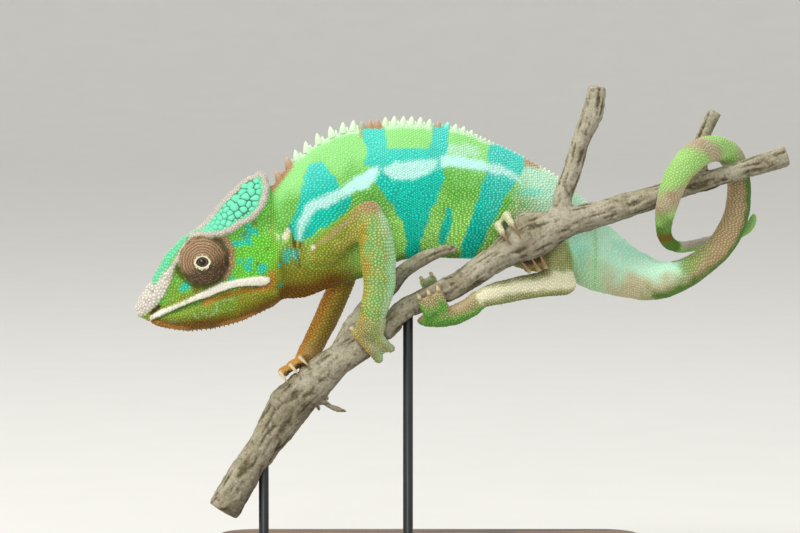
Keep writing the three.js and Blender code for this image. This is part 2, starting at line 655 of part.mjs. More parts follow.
/** Upper leg, lower leg, foot and claws of every leg. */
function legs(trunkGrown) {
  const nodes = {};
  Object.entries(LEGS).forEach(([name, leg]) => {
    const foot = FEET[name];
    const lowerGrown = limb(leg.lower, { grow: GAP, caps: 2 });
    const lower = limb(leg.lower, { caps: 2 });
    const upper = largest(limb(leg.upper, { caps: 2 }).subtract(trunkGrown).subtract(lowerGrown));
    const toes = foot.bundles.flatMap((bundle) => {
      return Array.from({ length: bundle.toes }, (_, i) => ({ ...toe(foot, bundle, i), bundle, i }));
    });
    const palm = limb(foot.palm, { around: AROUND.palm, caps: 2 });
    const digits = toes.map(({ stations, side }) => limb(stations, { around: AROUND.toe, side }));
    const whole = joined([palm, ...digits]);
    nodes[`${name}_upper_leg`] = upper;
    nodes[`${name}_lower_leg`] = largest(lower.subtract(trunkGrown));
    nodes[`${name}_foot`] = largest(whole.subtract(branchGrown).subtract(lowerGrown).subtract(trunkGrown));
    const digitsGrown = joined(toes.map(({ stations, side }) => {
      return limb(stations, { around: AROUND.toe, side, grow: GAP });
    }));
    toes.forEach(({ claw, side, bundle, i }) => {
      const horn = limb(claw, { around: AROUND.claw, side });
      nodes[`${name}_claw_${bundle.name}_${i + 1}`] = largest(horn.subtract(digitsGrown).subtract(branchGrown));
    });
  });
  return nodes;
}

// ---------------------------------------------------------------- materials and assembly

const FINISHES = [
  [/^stand_base/, 0x5b4636, 0.45, 0],
  [/^stand_rod/, 0x3a3c3e, 0.35, 0.8],
  [/^perch/, 0x94896f, 0.9, 0],
  [/claw/, 0xc9b48c, 0.5, 0],
  [/^eyeball/, 0x2e261c, 0.15, 0],
  [/^eye_turret/, 0xa07c5c, 0.7, 0],
  [/^head/, 0x86c890, 0.75, 0],
  [/^lower_jaw/, 0x7d7a22, 0.75, 0],
  [/^neck/, 0x86cc60, 0.75, 0],
  [/^trunk/, 0x5fc98a, 0.75, 0],
  [/^tail_(root|lower|outer)/, 0xa9a878, 0.75, 0],
  [/^tail/, 0x93c868, 0.75, 0],
  [/^front_right/, 0xc8963c, 0.75, 0],
  [/^front_left/, 0x80ad62, 0.75, 0],
  [/^hind/, 0xb9b084, 0.75, 0],
];

/** Mesh of a body, with its name and finish. */
function node(name, body) {
  const { vertProperties, triVerts, numProp } = body.getMesh();
  const geometry = new THREE.BufferGeometry();
  const places = new Float32Array((vertProperties.length / numProp) * 3);
  for (let i = 0; i < places.length / 3; i += 1) {
    places.set(vertProperties.slice(i * numProp, i * numProp + 3), i * 3);
  }
  geometry.setAttribute('position', new THREE.BufferAttribute(places, 3));
  geometry.setIndex(new THREE.BufferAttribute(new Uint32Array(triVerts), 1));
  geometry.computeVertexNormals();
  const [, color, roughness, metalness] = FINISHES.find(([pattern]) => pattern.test(name));
  const mesh = new THREE.Mesh(geometry, new THREE.MeshStandardMaterial({ color, roughness, metalness }));
  mesh.name = name;
  return mesh;
}

const head = skull();
const bodies = {
  ...head.nodes,
  ...backbone(head.grown),
  ...legs(trunkBody(GAP)),
  ...perch(),
  ...stand(),
};

const part = new THREE.Group();
part.name = 'panther_chameleon_display';
Object.entries(bodies).forEach(([name, body]) => part.add(node(name, body)));

export default part;
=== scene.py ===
"""Looks of a still, life-size panther chameleon on a cut branch and a stand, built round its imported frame."""

import json
import logging
import math
from dataclasses import dataclass, field, fields
from enum import Enum
from typing import Any, Sequence

import bpy
import numpy as np
import openvdb
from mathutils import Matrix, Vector
from mathutils.bvhtree import BVHTree
from mathutils.kdtree import KDTree

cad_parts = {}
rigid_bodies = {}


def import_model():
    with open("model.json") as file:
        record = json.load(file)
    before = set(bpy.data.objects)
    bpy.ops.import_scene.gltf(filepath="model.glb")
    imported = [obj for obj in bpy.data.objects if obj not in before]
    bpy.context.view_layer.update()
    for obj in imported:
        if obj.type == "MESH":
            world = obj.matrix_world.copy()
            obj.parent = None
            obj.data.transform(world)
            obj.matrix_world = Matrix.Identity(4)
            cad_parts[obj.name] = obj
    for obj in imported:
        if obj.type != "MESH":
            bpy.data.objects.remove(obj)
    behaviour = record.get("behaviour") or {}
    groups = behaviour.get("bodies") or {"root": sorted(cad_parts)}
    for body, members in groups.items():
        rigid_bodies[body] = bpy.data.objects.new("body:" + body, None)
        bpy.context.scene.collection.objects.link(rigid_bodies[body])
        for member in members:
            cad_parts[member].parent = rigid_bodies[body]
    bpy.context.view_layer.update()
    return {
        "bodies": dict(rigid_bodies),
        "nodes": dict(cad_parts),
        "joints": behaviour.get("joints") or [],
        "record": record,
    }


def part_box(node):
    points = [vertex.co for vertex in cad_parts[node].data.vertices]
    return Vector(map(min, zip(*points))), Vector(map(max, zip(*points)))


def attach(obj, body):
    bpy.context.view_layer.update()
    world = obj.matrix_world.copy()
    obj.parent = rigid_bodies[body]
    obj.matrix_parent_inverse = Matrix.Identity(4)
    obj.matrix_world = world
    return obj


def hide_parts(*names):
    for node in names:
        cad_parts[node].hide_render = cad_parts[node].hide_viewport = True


# Lengths in this script are millimetres; meshes are made in metres.
MM = 0.001
LOG = logging.getLogger("chameleon")

Array = np.ndarray
Pair = tuple[float, float]
Triple = tuple[float, float, float]
Line = Sequence[Pair]
Mesh = tuple[Array, Array]
Frame = dict[str, Any]
Marks = dict[str, Array]
Thing = bpy.types.Object
Material = bpy.types.Material
norm = np.linalg.norm
# Direction that turns round a long part are counted from: nearly level, so that no part lies along it.
LEVEL = (0.02, 1.0, 0.03)


# ---- numbers

def ease(low: float, high: float, value: Array) -> Array:
    """Smooth step from 0 at low to 1 at high; falls instead where low is above high.

    Args:
        low: value that gives 0.
        high: value that gives 1.
        value: numbers to map.

    Returns:
        Numbers between 0 and 1.
    """
    share = np.clip((value - low) / (high - low), 0, 1)
    return share * share * (3 - 2 * share)


def bell(distance: Array, width: float) -> Array:
    """Smooth hump, 1 where the distance is 0."""
    return np.exp(-(distance / width) ** 2)


def layered(base: Array, *rows: tuple[Array, Any]) -> Array:
    """Values laid over one another.

    Args:
        base: values where no row applies.
        rows: where each row applies, and its value.

    Returns:
        The value of the last row that applies.
    """
    for where, value in rows:
        base = np.where(where, value, base)
    return base


def unit(vectors: Array) -> Array:
    """Vectors scaled to length one."""
    return vectors / np.maximum(norm(vectors, axis=-1, keepdims=True), 1e-9)


def line_distance(plate: Array, line: Line) -> tuple[Array, Array]:
    """Distance to an open line in the side plate.

    Args:
        plate: points [x, z].
        line: corners of the line.

    Returns:
        Distance of each point, and how far along the line its nearest spot is, from 0 to 1.
    """
    corners = np.array(line, float)
    best = np.full(len(plate), 1e9)
    along = np.zeros(len(plate))
    for number, (start, end) in enumerate(zip(corners[:-1], corners[1:])):
        way = end - start
        share = np.clip(((plate - start) @ way) / (way @ way), 0, 1)
        distance = norm(plate - start - share[:, None] * way, axis=1)
        nearer = distance < best
        best = np.where(nearer, distance, best)
        along = np.where(nearer, (number + share) / (len(corners) - 1), along)
    return best, along


def area_distance(plate: Array, outline: Line) -> Array:
    """Signed distance to a closed outline in the side plate, below zero inside it.

    Args:
        plate: points [x, z].
        outline: corners of the outline.

    Returns:
        One distance for each point.
    """
    closed = list(outline) + [outline[0]]
    distance, _ = line_distance(plate, closed)
    inside = np.zeros(len(plate), bool)
    for (ax, az), (bx, bz) in zip(closed[:-1], closed[1:]):
        spans = (az > plate[:, 1]) != (bz > plate[:, 1])
        rise = bz - az if bz != az else 1e-9
        inside ^= spans & (plate[:, 0] < (bx - ax) * (plate[:, 1] - az) / rise + ax)
    return np.where(inside, -distance, distance)


@dataclass(frozen=True)
class Mottle:
    """Smooth random field on a hashed lattice, the same on every run."""

    seed: int
    table_size: int = 8192

    def at(self, points: Array, size: float, octaves: int = 1) -> Array:
        """Field value at each point.

        Args:
            points: places in millimetres.
            size: spacing of the lattice.
            octaves: how many ever finer layers are added.

        Returns:
            Numbers from about -1 to 1.
        """
        table = np.random.default_rng(self.seed).uniform(-1, 1, self.table_size)
        total = np.zeros(len(points))
        weight = 1.0
        for octave in range(octaves):
            scaled = points / (size / 2 ** octave) + 31.7 * octave
            cell = np.floor(scaled).astype(np.int64)
            part = scaled - cell
            part = part * part * (3 - 2 * part)
            for corner in range(8):
                step = np.array([corner & 1, corner >> 1 & 1, corner >> 2 & 1])
                share = np.prod(np.where(step, part, 1 - part), axis=1)
                key = (cell + step) @ np.array([73856093, 19349663, 83492791])
                total += weight * share * table[np.abs(key) % self.table_size]
            weight /= 2
        return total


def point_finder(points: Array) -> KDTree:
    """Search tree of places.

    Args:
        points: the places.

    Returns:
        The tree, which gives back row numbers.
    """
    tree = KDTree(len(points))
    for number, place in enumerate(points.tolist()):
        tree.insert(place, number)
    tree.balance()
    return tree


# ---- meshes

@dataclass
class Surface:
    """Closed quad surface that is shaped in place."""

    points: Array
    quads: Array
    links: Array = field(init=False)
    valence: Array = field(init=False)

    def __post_init__(self) -> None:
        """Works out which points are neighbours."""
        edges = np.concatenate([self.quads[:, [i, (i + 1) % 4]] for i in range(4)])
        edges = np.unique(np.sort(edges, axis=1), axis=0)
        self.links = np.concatenate([edges, edges[:, ::-1]])
        self.valence = np.bincount(self.links[:, 0], minlength=len(self.points)).astype(float)

    def spread(self, values: Array, rounds: int = 1) -> Array:
        """Values averaged with their neighbours.

        Args:
            values: one number for each point.
            rounds: how many times.

        Returns:
            The softened numbers.
        """
        for _ in range(rounds):
            total = np.bincount(self.links[:, 0], values[self.links[:, 1]], len(self.points))
            values = 0.5 * values + 0.5 * total / self.valence
        return values

    def soften(self, strength: Array, rounds: int) -> None:
        """Relaxes the shape.

        Args:
            strength: how far each point moves towards its neighbours' middle in one round, 0 to 1.
            rounds: how many times.
        """
        for _ in range(rounds):
            middle = np.stack([
                np.bincount(self.links[:, 0], self.points[self.links[:, 1], axis], len(self.points))
                for axis in range(3)
            ], axis=1) / self.valence[:, None]
            self.points += strength[:, None] * (middle - self.points)

    def normals(self, rounds: int = 0) -> Array:
        """Unit normals of the points, softened if asked.

        Args:
            rounds: how many times they are softened.

        Returns:
            One normal for each point.
        """
        corner = self.points[self.quads]
        face = np.cross(corner[:, 2] - corner[:, 0], corner[:, 3] - corner[:, 1])
        total = np.zeros_like(self.points)
        for i in range(4):
            for axis in range(3):
                total[:, axis] += np.bincount(self.quads[:, i], face[:, axis], len(self.points))
        if rounds:
            total = np.stack([self.spread(total[:, axis], rounds) for axis in range(3)], axis=1)
        return unit(total)

    def push(self, distance: Array) -> None:
        """Moves the points along their normals."""
        self.points += self.normals(1) * distance[:, None]

    def tree(self) -> BVHTree:
        """Search tree of the faces."""
        return BVHTree.FromPolygons(self.points.tolist(), self.quads.tolist())


def wheel(around: int, side: Array, other: Array, start: float = 0.0) -> Array:
    """Directions evenly spaced round a middle line.

    Args:
        around: how many.
        side: direction of the first.
        other: direction a quarter turn on.
        start: share of a step that the first is turned by.

    Returns:
        One direction in each row.
    """
    turn = 2 * math.pi * (np.arange(around) + start) / around
    return np.cos(turn)[:, None] * side + np.sin(turn)[:, None] * other


def lofted(rings: Array, first: Array | None = None, last: Array | None = None, looped: bool = False) -> Mesh:
    """Triangles over rings of points.

    Args:
        rings: points as [ring, place in the ring, axis].
        first: point that closes the first ring.
        last: point that closes the last ring.
        looped: whether the last ring joins the first.

    Returns:
        Points and triangles.
    """
    count, around = rings.shape[:2]
    points, faces = [*rings.reshape(-1, 3)], []
    for ring in range(count if looped else count - 1):
        low, high = ring * around, (ring + 1) % count * around
        for j in range(around):
            k = (j + 1) % around
            faces += [(low + j, low + k, high + j), (low + k, high + k, high + j)]
    for tip, start, way in ((first, 0, -1), (last, (count - 1) * around, 1)):
        if tip is not None:
            faces += [(start + j, start + (j + 1) % around, len(points))[::way] for j in range(around)]
            points.append(tip)
    return np.array(points), np.array(faces)


def ball_mesh(centre: Array, radius: float, around: int = 24) -> Mesh:
    """Triangles of a ball, used to fill a hollow.

    Args:
        centre: its middle.
        radius: its radius.
        around: corners round its waist.

    Returns:
        Points and triangles.
    """
    sideways, up = np.eye(3)[:2], np.eye(3)[2]
    heights = math.pi * np.arange(1, around // 2)[:, None, None] / (around // 2)
    rings = centre + radius * (np.sin(heights) * wheel(around, *sideways) + np.cos(heights) * up)
    return lofted(rings[::-1], centre - radius * up, centre + radius * up)


def node_mesh(node: Thing) -> Mesh:
    """Points in millimetres and triangles of a frame node.

    Args:
        node: the node's object.

    Returns:
        Points and triangles.
    """
    mesh = node.data
    mesh.calc_loop_triangles()
    points = np.empty(len(mesh.vertices) * 3, np.float32)
    mesh.vertices.foreach_get("co", points)
    faces = np.empty(len(mesh.loop_triangles) * 3, np.int32)
    mesh.loop_triangles.foreach_get("vertices", faces)
    return points.reshape(-1, 3).astype(float) / MM, faces.reshape(-1, 3)


def stacked(meshes: Sequence[Mesh]) -> tuple[Array, Array, Array]:
    """Several meshes as one.

    Args:
        meshes: points and faces of each.

    Returns:
        All points, all faces, and the number of the mesh that each face comes from.
    """
    points, faces, owner = [], [], []
    count = 0
    for number, (own_points, own_faces) in enumerate(meshes):
        points.append(own_points)
        faces.append(own_faces + count)
        owner.append(np.full(len(own_faces), number))
        count += len(own_points)
    return np.concatenate(points), np.concatenate(faces), np.concatenate(owner)


def nearest_faces(meshes: Sequence[Mesh], places: Array, reach: float = 1e9) -> tuple[Array, Array]:
    """Nearest face of several meshes to each place.

    Args:
        meshes: points and faces of each.
        places: where to search from.
        reach: how far to search.

    Returns:
        Number of the nearest mesh, and the distance to it, which is at most the reach.
    """
    points, faces, owner = stacked(meshes)
    tree = BVHTree.FromPolygons(points.tolist(), faces.tolist())
    found = [tree.find_nearest(place, reach) for place in places.tolist()]
    gaps = np.array([reach if spot[3] is None else spot[3] for spot in found])
    return owner[[spot[2] or 0 for spot in found]], gaps


def fused(meshes: Sequence[Mesh], voxel: float, out: float, back: float) -> Surface:
    """One closed surface round several solids, with the narrow gaps between them closed.

    Args:
        meshes: points and triangles of each solid.
        voxel: cell size of the volume.
        out: how far the solids are swelled to close gaps.
        back: how far the swelled surface is drawn in again.

    Returns:
        The largest closed surface.
    """
    points, faces, _ = stacked(meshes)
    cells = openvdb.createLinearTransform(voxelSize=voxel)
    points, faces = points.astype(np.float32), faces.astype(np.uint32)
    grid = openvdb.FloatGrid.createLevelSetFromPolygons(
        points, triangles=faces, transform=cells, halfWidth=out / voxel + 3)
    swelled, quads = grid.convertToQuads(out)
    grid = openvdb.FloatGrid.createLevelSetFromPolygons(
        swelled, quads=quads.astype(np.uint32), transform=cells, halfWidth=back / voxel + 3)
    drawn, quads = grid.convertToQuads(-back)
    return largest(drawn.astype(float), quads.astype(np.int64))


def largest(points: Array, quads: Array) -> Surface:
    """The largest connected piece of a quad mesh, facing outwards.

    Args:
        points: corners of the mesh.
        quads: point numbers of each face.

    Returns:
        The piece.
    """
    edges = np.concatenate([quads[:, [i, (i + 1) % 4]] for i in range(4)])
    label = np.arange(len(points))
    while True:
        before = label.copy()
        low = np.minimum(label[edges[:, 0]], label[edges[:, 1]])
        np.minimum.at(label, edges[:, 0], low)
        np.minimum.at(label, edges[:, 1], low)
        label = label[label]
        if np.array_equal(label, before):
            break
    kept = label == np.bincount(label).argmax()
    number = np.cumsum(kept) - 1
    quads = number[quads[kept[quads[:, 0]]]]
    points = points[kept]
    corner = points[quads]
    volume = np.einsum("ij,ij->i", corner[:, 0], np.cross(corner[:, 1], corner[:, 2])).sum()
    if volume < 0:
        quads = quads[:, ::-1]
    return Surface(points, quads)


def make_object(name: str, points: Array, faces: Array, marks: Marks, finish: Material,
                smooth: bool = True) -> Thing:
    """Blender object of a mesh with equal-sided faces.

    Args:
        name: name of the piece.
        points: places in millimetres.
        faces: point numbers of each face.
        marks: numbers for each point, kept as attributes.
        finish: material.
        smooth: whether the shading is smooth.

    Returns:
        The linked object.
    """
    mesh = bpy.data.meshes.new(name)
    count, sides = faces.shape
    mesh.vertices.add(len(points))
    mesh.vertices.foreach_set("co", (points * MM).astype(np.float32).ravel())
    mesh.loops.add(count * sides)
    mesh.loops.foreach_set("vertex_index", faces.astype(np.int32).ravel())
    mesh.polygons.add(count)
    mesh.polygons.foreach_set("loop_start", np.arange(0, count * sides, sides, dtype=np.int32))
    mesh.polygons.foreach_set("use_smooth", np.full(count, smooth))
    mesh.update(calc_edges=True)
    mesh.materials.append(finish)
    for mark, values in marks.items():
        mesh.attributes.new(mark, "FLOAT", "POINT").data.foreach_set("value", values.astype(np.float32))
    thing = bpy.data.objects.new(name, mesh)
    bpy.context.scene.collection.objects.link(thing)
    return thing


# ---- shader language

def linear(red: int, green: int, blue: int) -> tuple[float, float, float, float]:
    """Linear colour of a screen colour given in 0 to 255."""
    shares = [value / 255 for value in (red, green, blue)]
    return tuple(s / 12.92 if s <= 0.04045 else ((s + 0.055) / 1.055) ** 2.4 for s in shares) + (1.0,)


class Shade:
    """Output socket of a shader node, so that masks are written as plain sums."""

    def __init__(self, graph: "Graph", socket: bpy.types.NodeSocket) -> None:
        """Wraps a socket of a graph."""
        self.graph = graph
        self.socket = socket

    def maths(self, operation: str, other: Any, swapped: bool = False) -> "Shade":
        """Math node of this value and another.

        Args:
            operation: Blender's name of the operation.
            other: a number or another value.
            swapped: whether the other value comes first.

        Returns:
            The node's result.
        """
        first, second = (other, self) if swapped else (self, other)
        return self.graph.add("ShaderNodeMath", {"operation": operation}, {0: first, 1: second})

    def __add__(self, other: Any) -> "Shade":
        """Sum."""
        return self.maths("ADD", other)

    __radd__ = __add__

    def __sub__(self, other: Any) -> "Shade":
        """Difference."""
        return self.maths("SUBTRACT", other)

    def __rsub__(self, other: Any) -> "Shade":
        """Difference from a number."""
        return self.maths("SUBTRACT", other, True)

    def __mul__(self, other: Any) -> "Shade":
        """Product."""
        return self.maths("MULTIPLY", other)

    __rmul__ = __mul__

    def between(self, low: float, high: float) -> "Shade":
        """Smooth step from low to high."""
        sockets = {"Value": self, "From Min": low, "From Max": high}
        return self.graph.add("ShaderNodeMapRange", {"interpolation_type": "SMOOTHSTEP"}, sockets)


class Graph:
    """Node tree of one material."""

    def __init__(self, name: str) -> None:
        """Starts an empty material."""
        self.material = bpy.data.materials.new(name)
        self.material.use_nodes = True
        self.tree = self.material.node_tree
        self.tree.nodes.clear()

    def add(self, kind: str, settings: dict[str, Any] | None = None, sockets: dict[Any, Any] | None = None,
            output: int = 0) -> Shade:
        """Adds one node.

        Args:
            kind: Blender's node type.
            settings: the node's own settings.
            sockets: values or links of its inputs.
            output: number of the output that is wanted.

        Returns:
            The chosen output.
        """
        node = self.tree.nodes.new(kind)
        for key, value in (settings or {}).items():
            setattr(node, key, value)
        for key, value in (sockets or {}).items():
            if isinstance(value, Shade):
                self.tree.links.new(value.socket, node.inputs[key])
            else:
                node.inputs[key].default_value = value
        return Shade(self, node.outputs[output]) if node.outputs else Shade(self, None)

    def mark(self, name: str) -> Shade:
        """Number painted on the mesh."""
        return self.add("ShaderNodeAttribute", {"attribute_name": name}, output=2)

    def place(self) -> Shade:
        """Position in the part's own frame."""
        return self.add("ShaderNodeTexCoord", output=3)

    def noise(self, scale: float, detail: float = 3.0, stretch: Sequence[float] = (1, 1, 1)) -> Shade:
        """Noise in the part's own frame.

        Args:
            scale: features in a metre.
            detail: how much finer structure is added.
            stretch: scale of the place along each axis.

        Returns:
            Values round one half.
        """
        settings = {"operation": "MULTIPLY"}
        place = self.add("ShaderNodeVectorMath", settings, {0: self.place(), 1: stretch})
        return self.add("ShaderNodeTexNoise", None, {"Vector": place, "Scale": scale, "Detail": detail})

    def mix(self, factor: Any, first: Any, second: Any) -> Shade:
        """Mix of two colours.

        Args:
            factor: share of the second.
            first: colour or link.
            second: colour or link.

        Returns:
            The mixed colour.
        """
        settings = {"data_type": "RGBA", "clamp_factor": True}
        return self.add("ShaderNodeMix", settings, {0: factor, 6: first, 7: second}, 2)

    def scaled(self, colour: Shade, amount: Any) -> Shade:
        """Colour made lighter or darker by a factor."""
        return self.add("ShaderNodeVectorMath", {"operation": "SCALE"}, {0: colour, "Scale": amount})

    def bump(self, height: Shade, depth: float, strength: float = 1.0) -> Shade:
        """Normal bent by a height.

        Args:
            height: the height, 0 to 1.
            depth: metres between 0 and 1.
            strength: share of the effect.

        Returns:
            The bent normal.
        """
        return self.add("ShaderNodeBump", None, {"Height": height, "Distance": depth, "Strength": strength})

    def finish(self, sockets: dict[str, Any]) -> Material:
        """Closes the material with its surface shader.

        Args:
            sockets: values or links of the surface shader.

        Returns:
            The material.
        """
        surface = self.add("ShaderNodeBsdfPrincipled", None, sockets)
        self.add("ShaderNodeOutputMaterial", None, {"Surface": surface})
        return self.material


# ---- finishes

@dataclass(frozen=True)
class HideFinish:
    """Scaly hide: flank greens with the markings laid over them in order."""

    base: tuple = linear(118, 200, 84)
    ring: tuple = linear(104, 66, 46)
    ring_pitch: float = 0.00078
    coats: tuple[tuple[str, tuple[int, int, int]], ...] = (
        ("pale_green", (152, 224, 134)), ("low_green", (178, 246, 124)), ("lime", (166, 212, 122)),
        ("cheek", (116, 214, 62)), ("olive", (148, 148, 36)), ("jade", (146, 194, 112)),
        ("gold", (194, 184, 92)), ("mint", (190, 234, 206)), ("sage", (172, 172, 116)),
        ("cream", (234, 230, 196)), ("tan", (184, 156, 118)), ("lilac", (190, 180, 164)),
        ("leaf", (84, 124, 40)), ("umber", (120, 82, 8)), ("orange", (208, 144, 52)),
        ("rust", (176, 132, 98)), ("teal", (8, 212, 188)), ("aqua", (90, 222, 206)),
        ("ice", (190, 244, 232)), ("plate", (106, 212, 172)), ("ridge", (202, 194, 182)),
        # soot: dark turret mottles together with painted shade in the turret's groove and lid opening.
        ("lip", (252, 248, 232)), ("copper", (182, 150, 114)), ("soot", (48, 38, 24)),
    )

    def build(self, name: str, scales: bool) -> Material:
        """Material of the skin or of the scales on it.

        Args:
            name: material name.
            scales: whether it is for the scales.

        Returns:
            The material.
        """
        graph = Graph(name)
        colour = graph.mix(0.0, self.base, self.base)
        for mark, colours in self.coats:
            colour = graph.mix(graph.mark(mark), colour, linear(*colours))
        ring = self._turret_rings(graph) * graph.mark("copper") * (1 - 0.8 * graph.mark("soot"))
        colour = graph.mix(ring * 0.75, colour, self.ring)
        grain = graph.noise(420, 3)
        cloud = graph.noise(90, 3)
        tone = 0.8 + 0.2 * grain + 0.2 * cloud
        if scales:
            # Scale tops lighter and rims darker from the rise mark: painted shade at the foot of each scale.
            rise = graph.mark("rise")
            tone = tone * (0.7 + 0.36 * rise) * (0.88 + 0.24 * graph.mark("chance"))
            height = graph.noise(2600, 2)
        else:
            # Skin between the scales drawn darker: painted shade in the gaps.
            tone = tone * 0.55
            height = graph.noise(1500, 3)
        smooth = graph.mark("even")
        # fold darkens the creases and the mouth seam: painted shade.
        tone = (tone * (1 - smooth) + smooth) * (1 - 0.55 * graph.mark("fold"))
        if not scales:
            # Painted shade in the gaps between the casque plates.
            tone = tone * (1 - 0.7 * graph.mark("crack"))
        return graph.finish({
            "Base Color": graph.scaled(colour, tone),
            "Roughness": 0.42 + 0.24 * grain,
            "Normal": graph.bump(height, 0.00005, 0.5),
            "Subsurface Weight": 0.0,
            "Specular IOR Level": 0.25,
        })

    def _turret_rings(self, graph: Graph) -> Shade:
        """Fine dark rings round the line of gaze of each eye, 0 to 1.

        Args:
            graph: the material's nodes.

        Returns:
            Darkness of the rings.
        """
        total = graph.noise(420, 3) * 0.0007
        for side in (-1, 1):
            centre, gaze = eye_frame(side)
            sockets = {0: graph.place(), 1: tuple(centre * MM)}
            offset = graph.add("ShaderNodeVectorMath", {"operation": "SUBTRACT"}, sockets)
            sockets = {0: offset, 1: tuple(gaze)}
            turned = graph.add("ShaderNodeVectorMath", {"operation": "CROSS_PRODUCT"}, sockets)
            aside = graph.add("ShaderNodeVectorMath", {"operation": "LENGTH"}, {0: turned}, 1)
            along = graph.add("ShaderNodeVectorMath", {"operation": "DOT_PRODUCT"}, sockets, 1)
            total = total + aside * along.between(0.0005, 0.001)
        return (total * (2 * math.pi / self.ring_pitch)).maths("SINE", 0).between(-0.1, 0.8)


@dataclass(frozen=True)
class EyeFinish:
    """Wet eyeball: black pupil in a dark brown iris."""

    pupil: tuple = linear(6, 5, 4)
    iris: tuple = linear(104, 84, 54)
    rim: tuple = linear(26, 20, 14)

    def build(self) -> Material:
        """Material of the eyeball, from the angle off its gaze."""
        graph = Graph("eyeball_gloss")
        gaze = graph.mark("gaze")
        rays = graph.noise(2400, 2)
        colour = graph.mix(gaze.between(0.165, 0.19), self.pupil, self.iris)
        colour = graph.mix((gaze + 0.05 * rays).between(0.28, 0.36), colour, self.rim)
        return graph.finish({
            "Base Color": colour,
            "Roughness": 0.06 + 0.04 * rays,
            "Specular IOR Level": 0.15,
            "Coat Weight": 0.6,
            "Coat Roughness": 0.03,
        })


@dataclass(frozen=True)
class ClawFinish:
    """Horn: pale at the root and darker to the tip."""

    root: tuple = linear(204, 186, 148)
    tip: tuple = linear(136, 110, 76)

    def build(self) -> Material:
        """Material of the claws."""
        graph = Graph("claw_horn")
        streak = graph.noise(900, 3)
        reach = graph.mark("reach")
        colour = graph.mix((reach + 0.3 * streak - 0.15).between(0.35, 1.0), self.root, self.tip)
        return graph.finish({
            "Base Color": colour,
            "Roughness": 0.3 + 0.2 * streak,
            "Normal": graph.bump(streak, 0.00003, 0.6),
        })


@dataclass(frozen=True)
class BarkFinish:
    """Weathered bark with dark furrows, pale ridges and sawn ends, and painted shade on its undersides."""

    pale: tuple = linear(178, 172, 152)
    middle: tuple = linear(140, 132, 108)
    dark: tuple = linear(70, 60, 38)
    wood: tuple = linear(196, 168, 122)

    def build(self) -> Material:
        """Material of the perch."""
        graph = Graph("bark")
        relief = graph.mark("relief")
        patch = graph.noise(110, 4)
        grit = graph.noise(1500, 5)
        fleck = graph.noise(520, 3)
        colour = graph.mix((relief + 0.5 * grit - 0.25).between(-0.2, 0.4), self.dark, self.middle)
        colour = graph.mix((patch + 0.35 * relief + 0.4 * grit).between(0.7, 1.15) * 0.85, colour, self.pale)
        colour = graph.mix(fleck.between(0.56, 0.68) * 0.5, colour, self.dark)
        # under darkens the downward-facing bark: painted shade.
        colour = graph.scaled(colour, (0.72 + 0.6 * grit) * (1 - 0.34 * graph.mark("under")))
        cut = graph.scaled(graph.mix(grit, self.wood, self.middle), 0.9)
        colour = graph.mix(graph.mark("sawn"), colour, cut)
        return graph.finish({
            "Base Color": colour,
            "Roughness": 0.75 + 0.2 * grit,
            "Normal": graph.bump(grit + 0.7 * fleck, 0.00045, 0.9),
            "Specular IOR Level": 0.25,
        })


@dataclass(frozen=True)
class BaseFinish:
    """Oiled hardwood with long grain."""

    early: tuple = linear(134, 98, 66)
    late: tuple = linear(84, 56, 36)

    def build(self) -> Material:
        """Material of the base."""
        graph = Graph("base_wood")
        rings = graph.noise(60, 5, (0.16, 1.6, 1.6))
        pores = graph.noise(1300, 3, (0.06, 1, 1))
        colour = graph.mix((rings * 6).maths("FRACT", 0).between(0.15, 0.95), self.early, self.late)
        colour = graph.mix(pores.between(0.58, 0.72) * 0.6, colour, self.late)
        return graph.finish({
            "Base Color": colour,
            "Roughness": 0.34 + 0.22 * pores,
            "Normal": graph.bump(pores, 0.00006, 0.5),
            "Coat Weight": 0.15,
        })


@dataclass(frozen=True)
class RodFinish:
    """Blackened steel, brushed round."""

    steel: tuple = linear(66, 66, 68)

    def build(self) -> Material:
        """Material of the rods."""
        graph = Graph("rod_steel")
        brush = graph.noise(1500, 3, (1, 1, 0.08))
        return graph.finish({
            "Base Color": graph.scaled(graph.mix(0.0, self.steel, self.steel), 0.8 + 0.4 * brush),
            "Roughness": 0.26 + 0.2 * brush,
            "Metallic": 0.9,
        })


@dataclass(frozen=True)
class FloorFinish:
    """Matte pale floor."""

    pale: tuple = linear(222, 221, 216)

    def build(self) -> Material:
        """Material of the floor."""
        graph = Graph("floor_matte")
        speck = graph.noise(30, 3)
        return graph.finish({
            "Base Color": graph.scaled(graph.mix(0.0, self.pale, self.pale), 0.97 + 0.05 * speck),
            "Roughness": 0.8,
        })


# ---- viewpoint and side plate

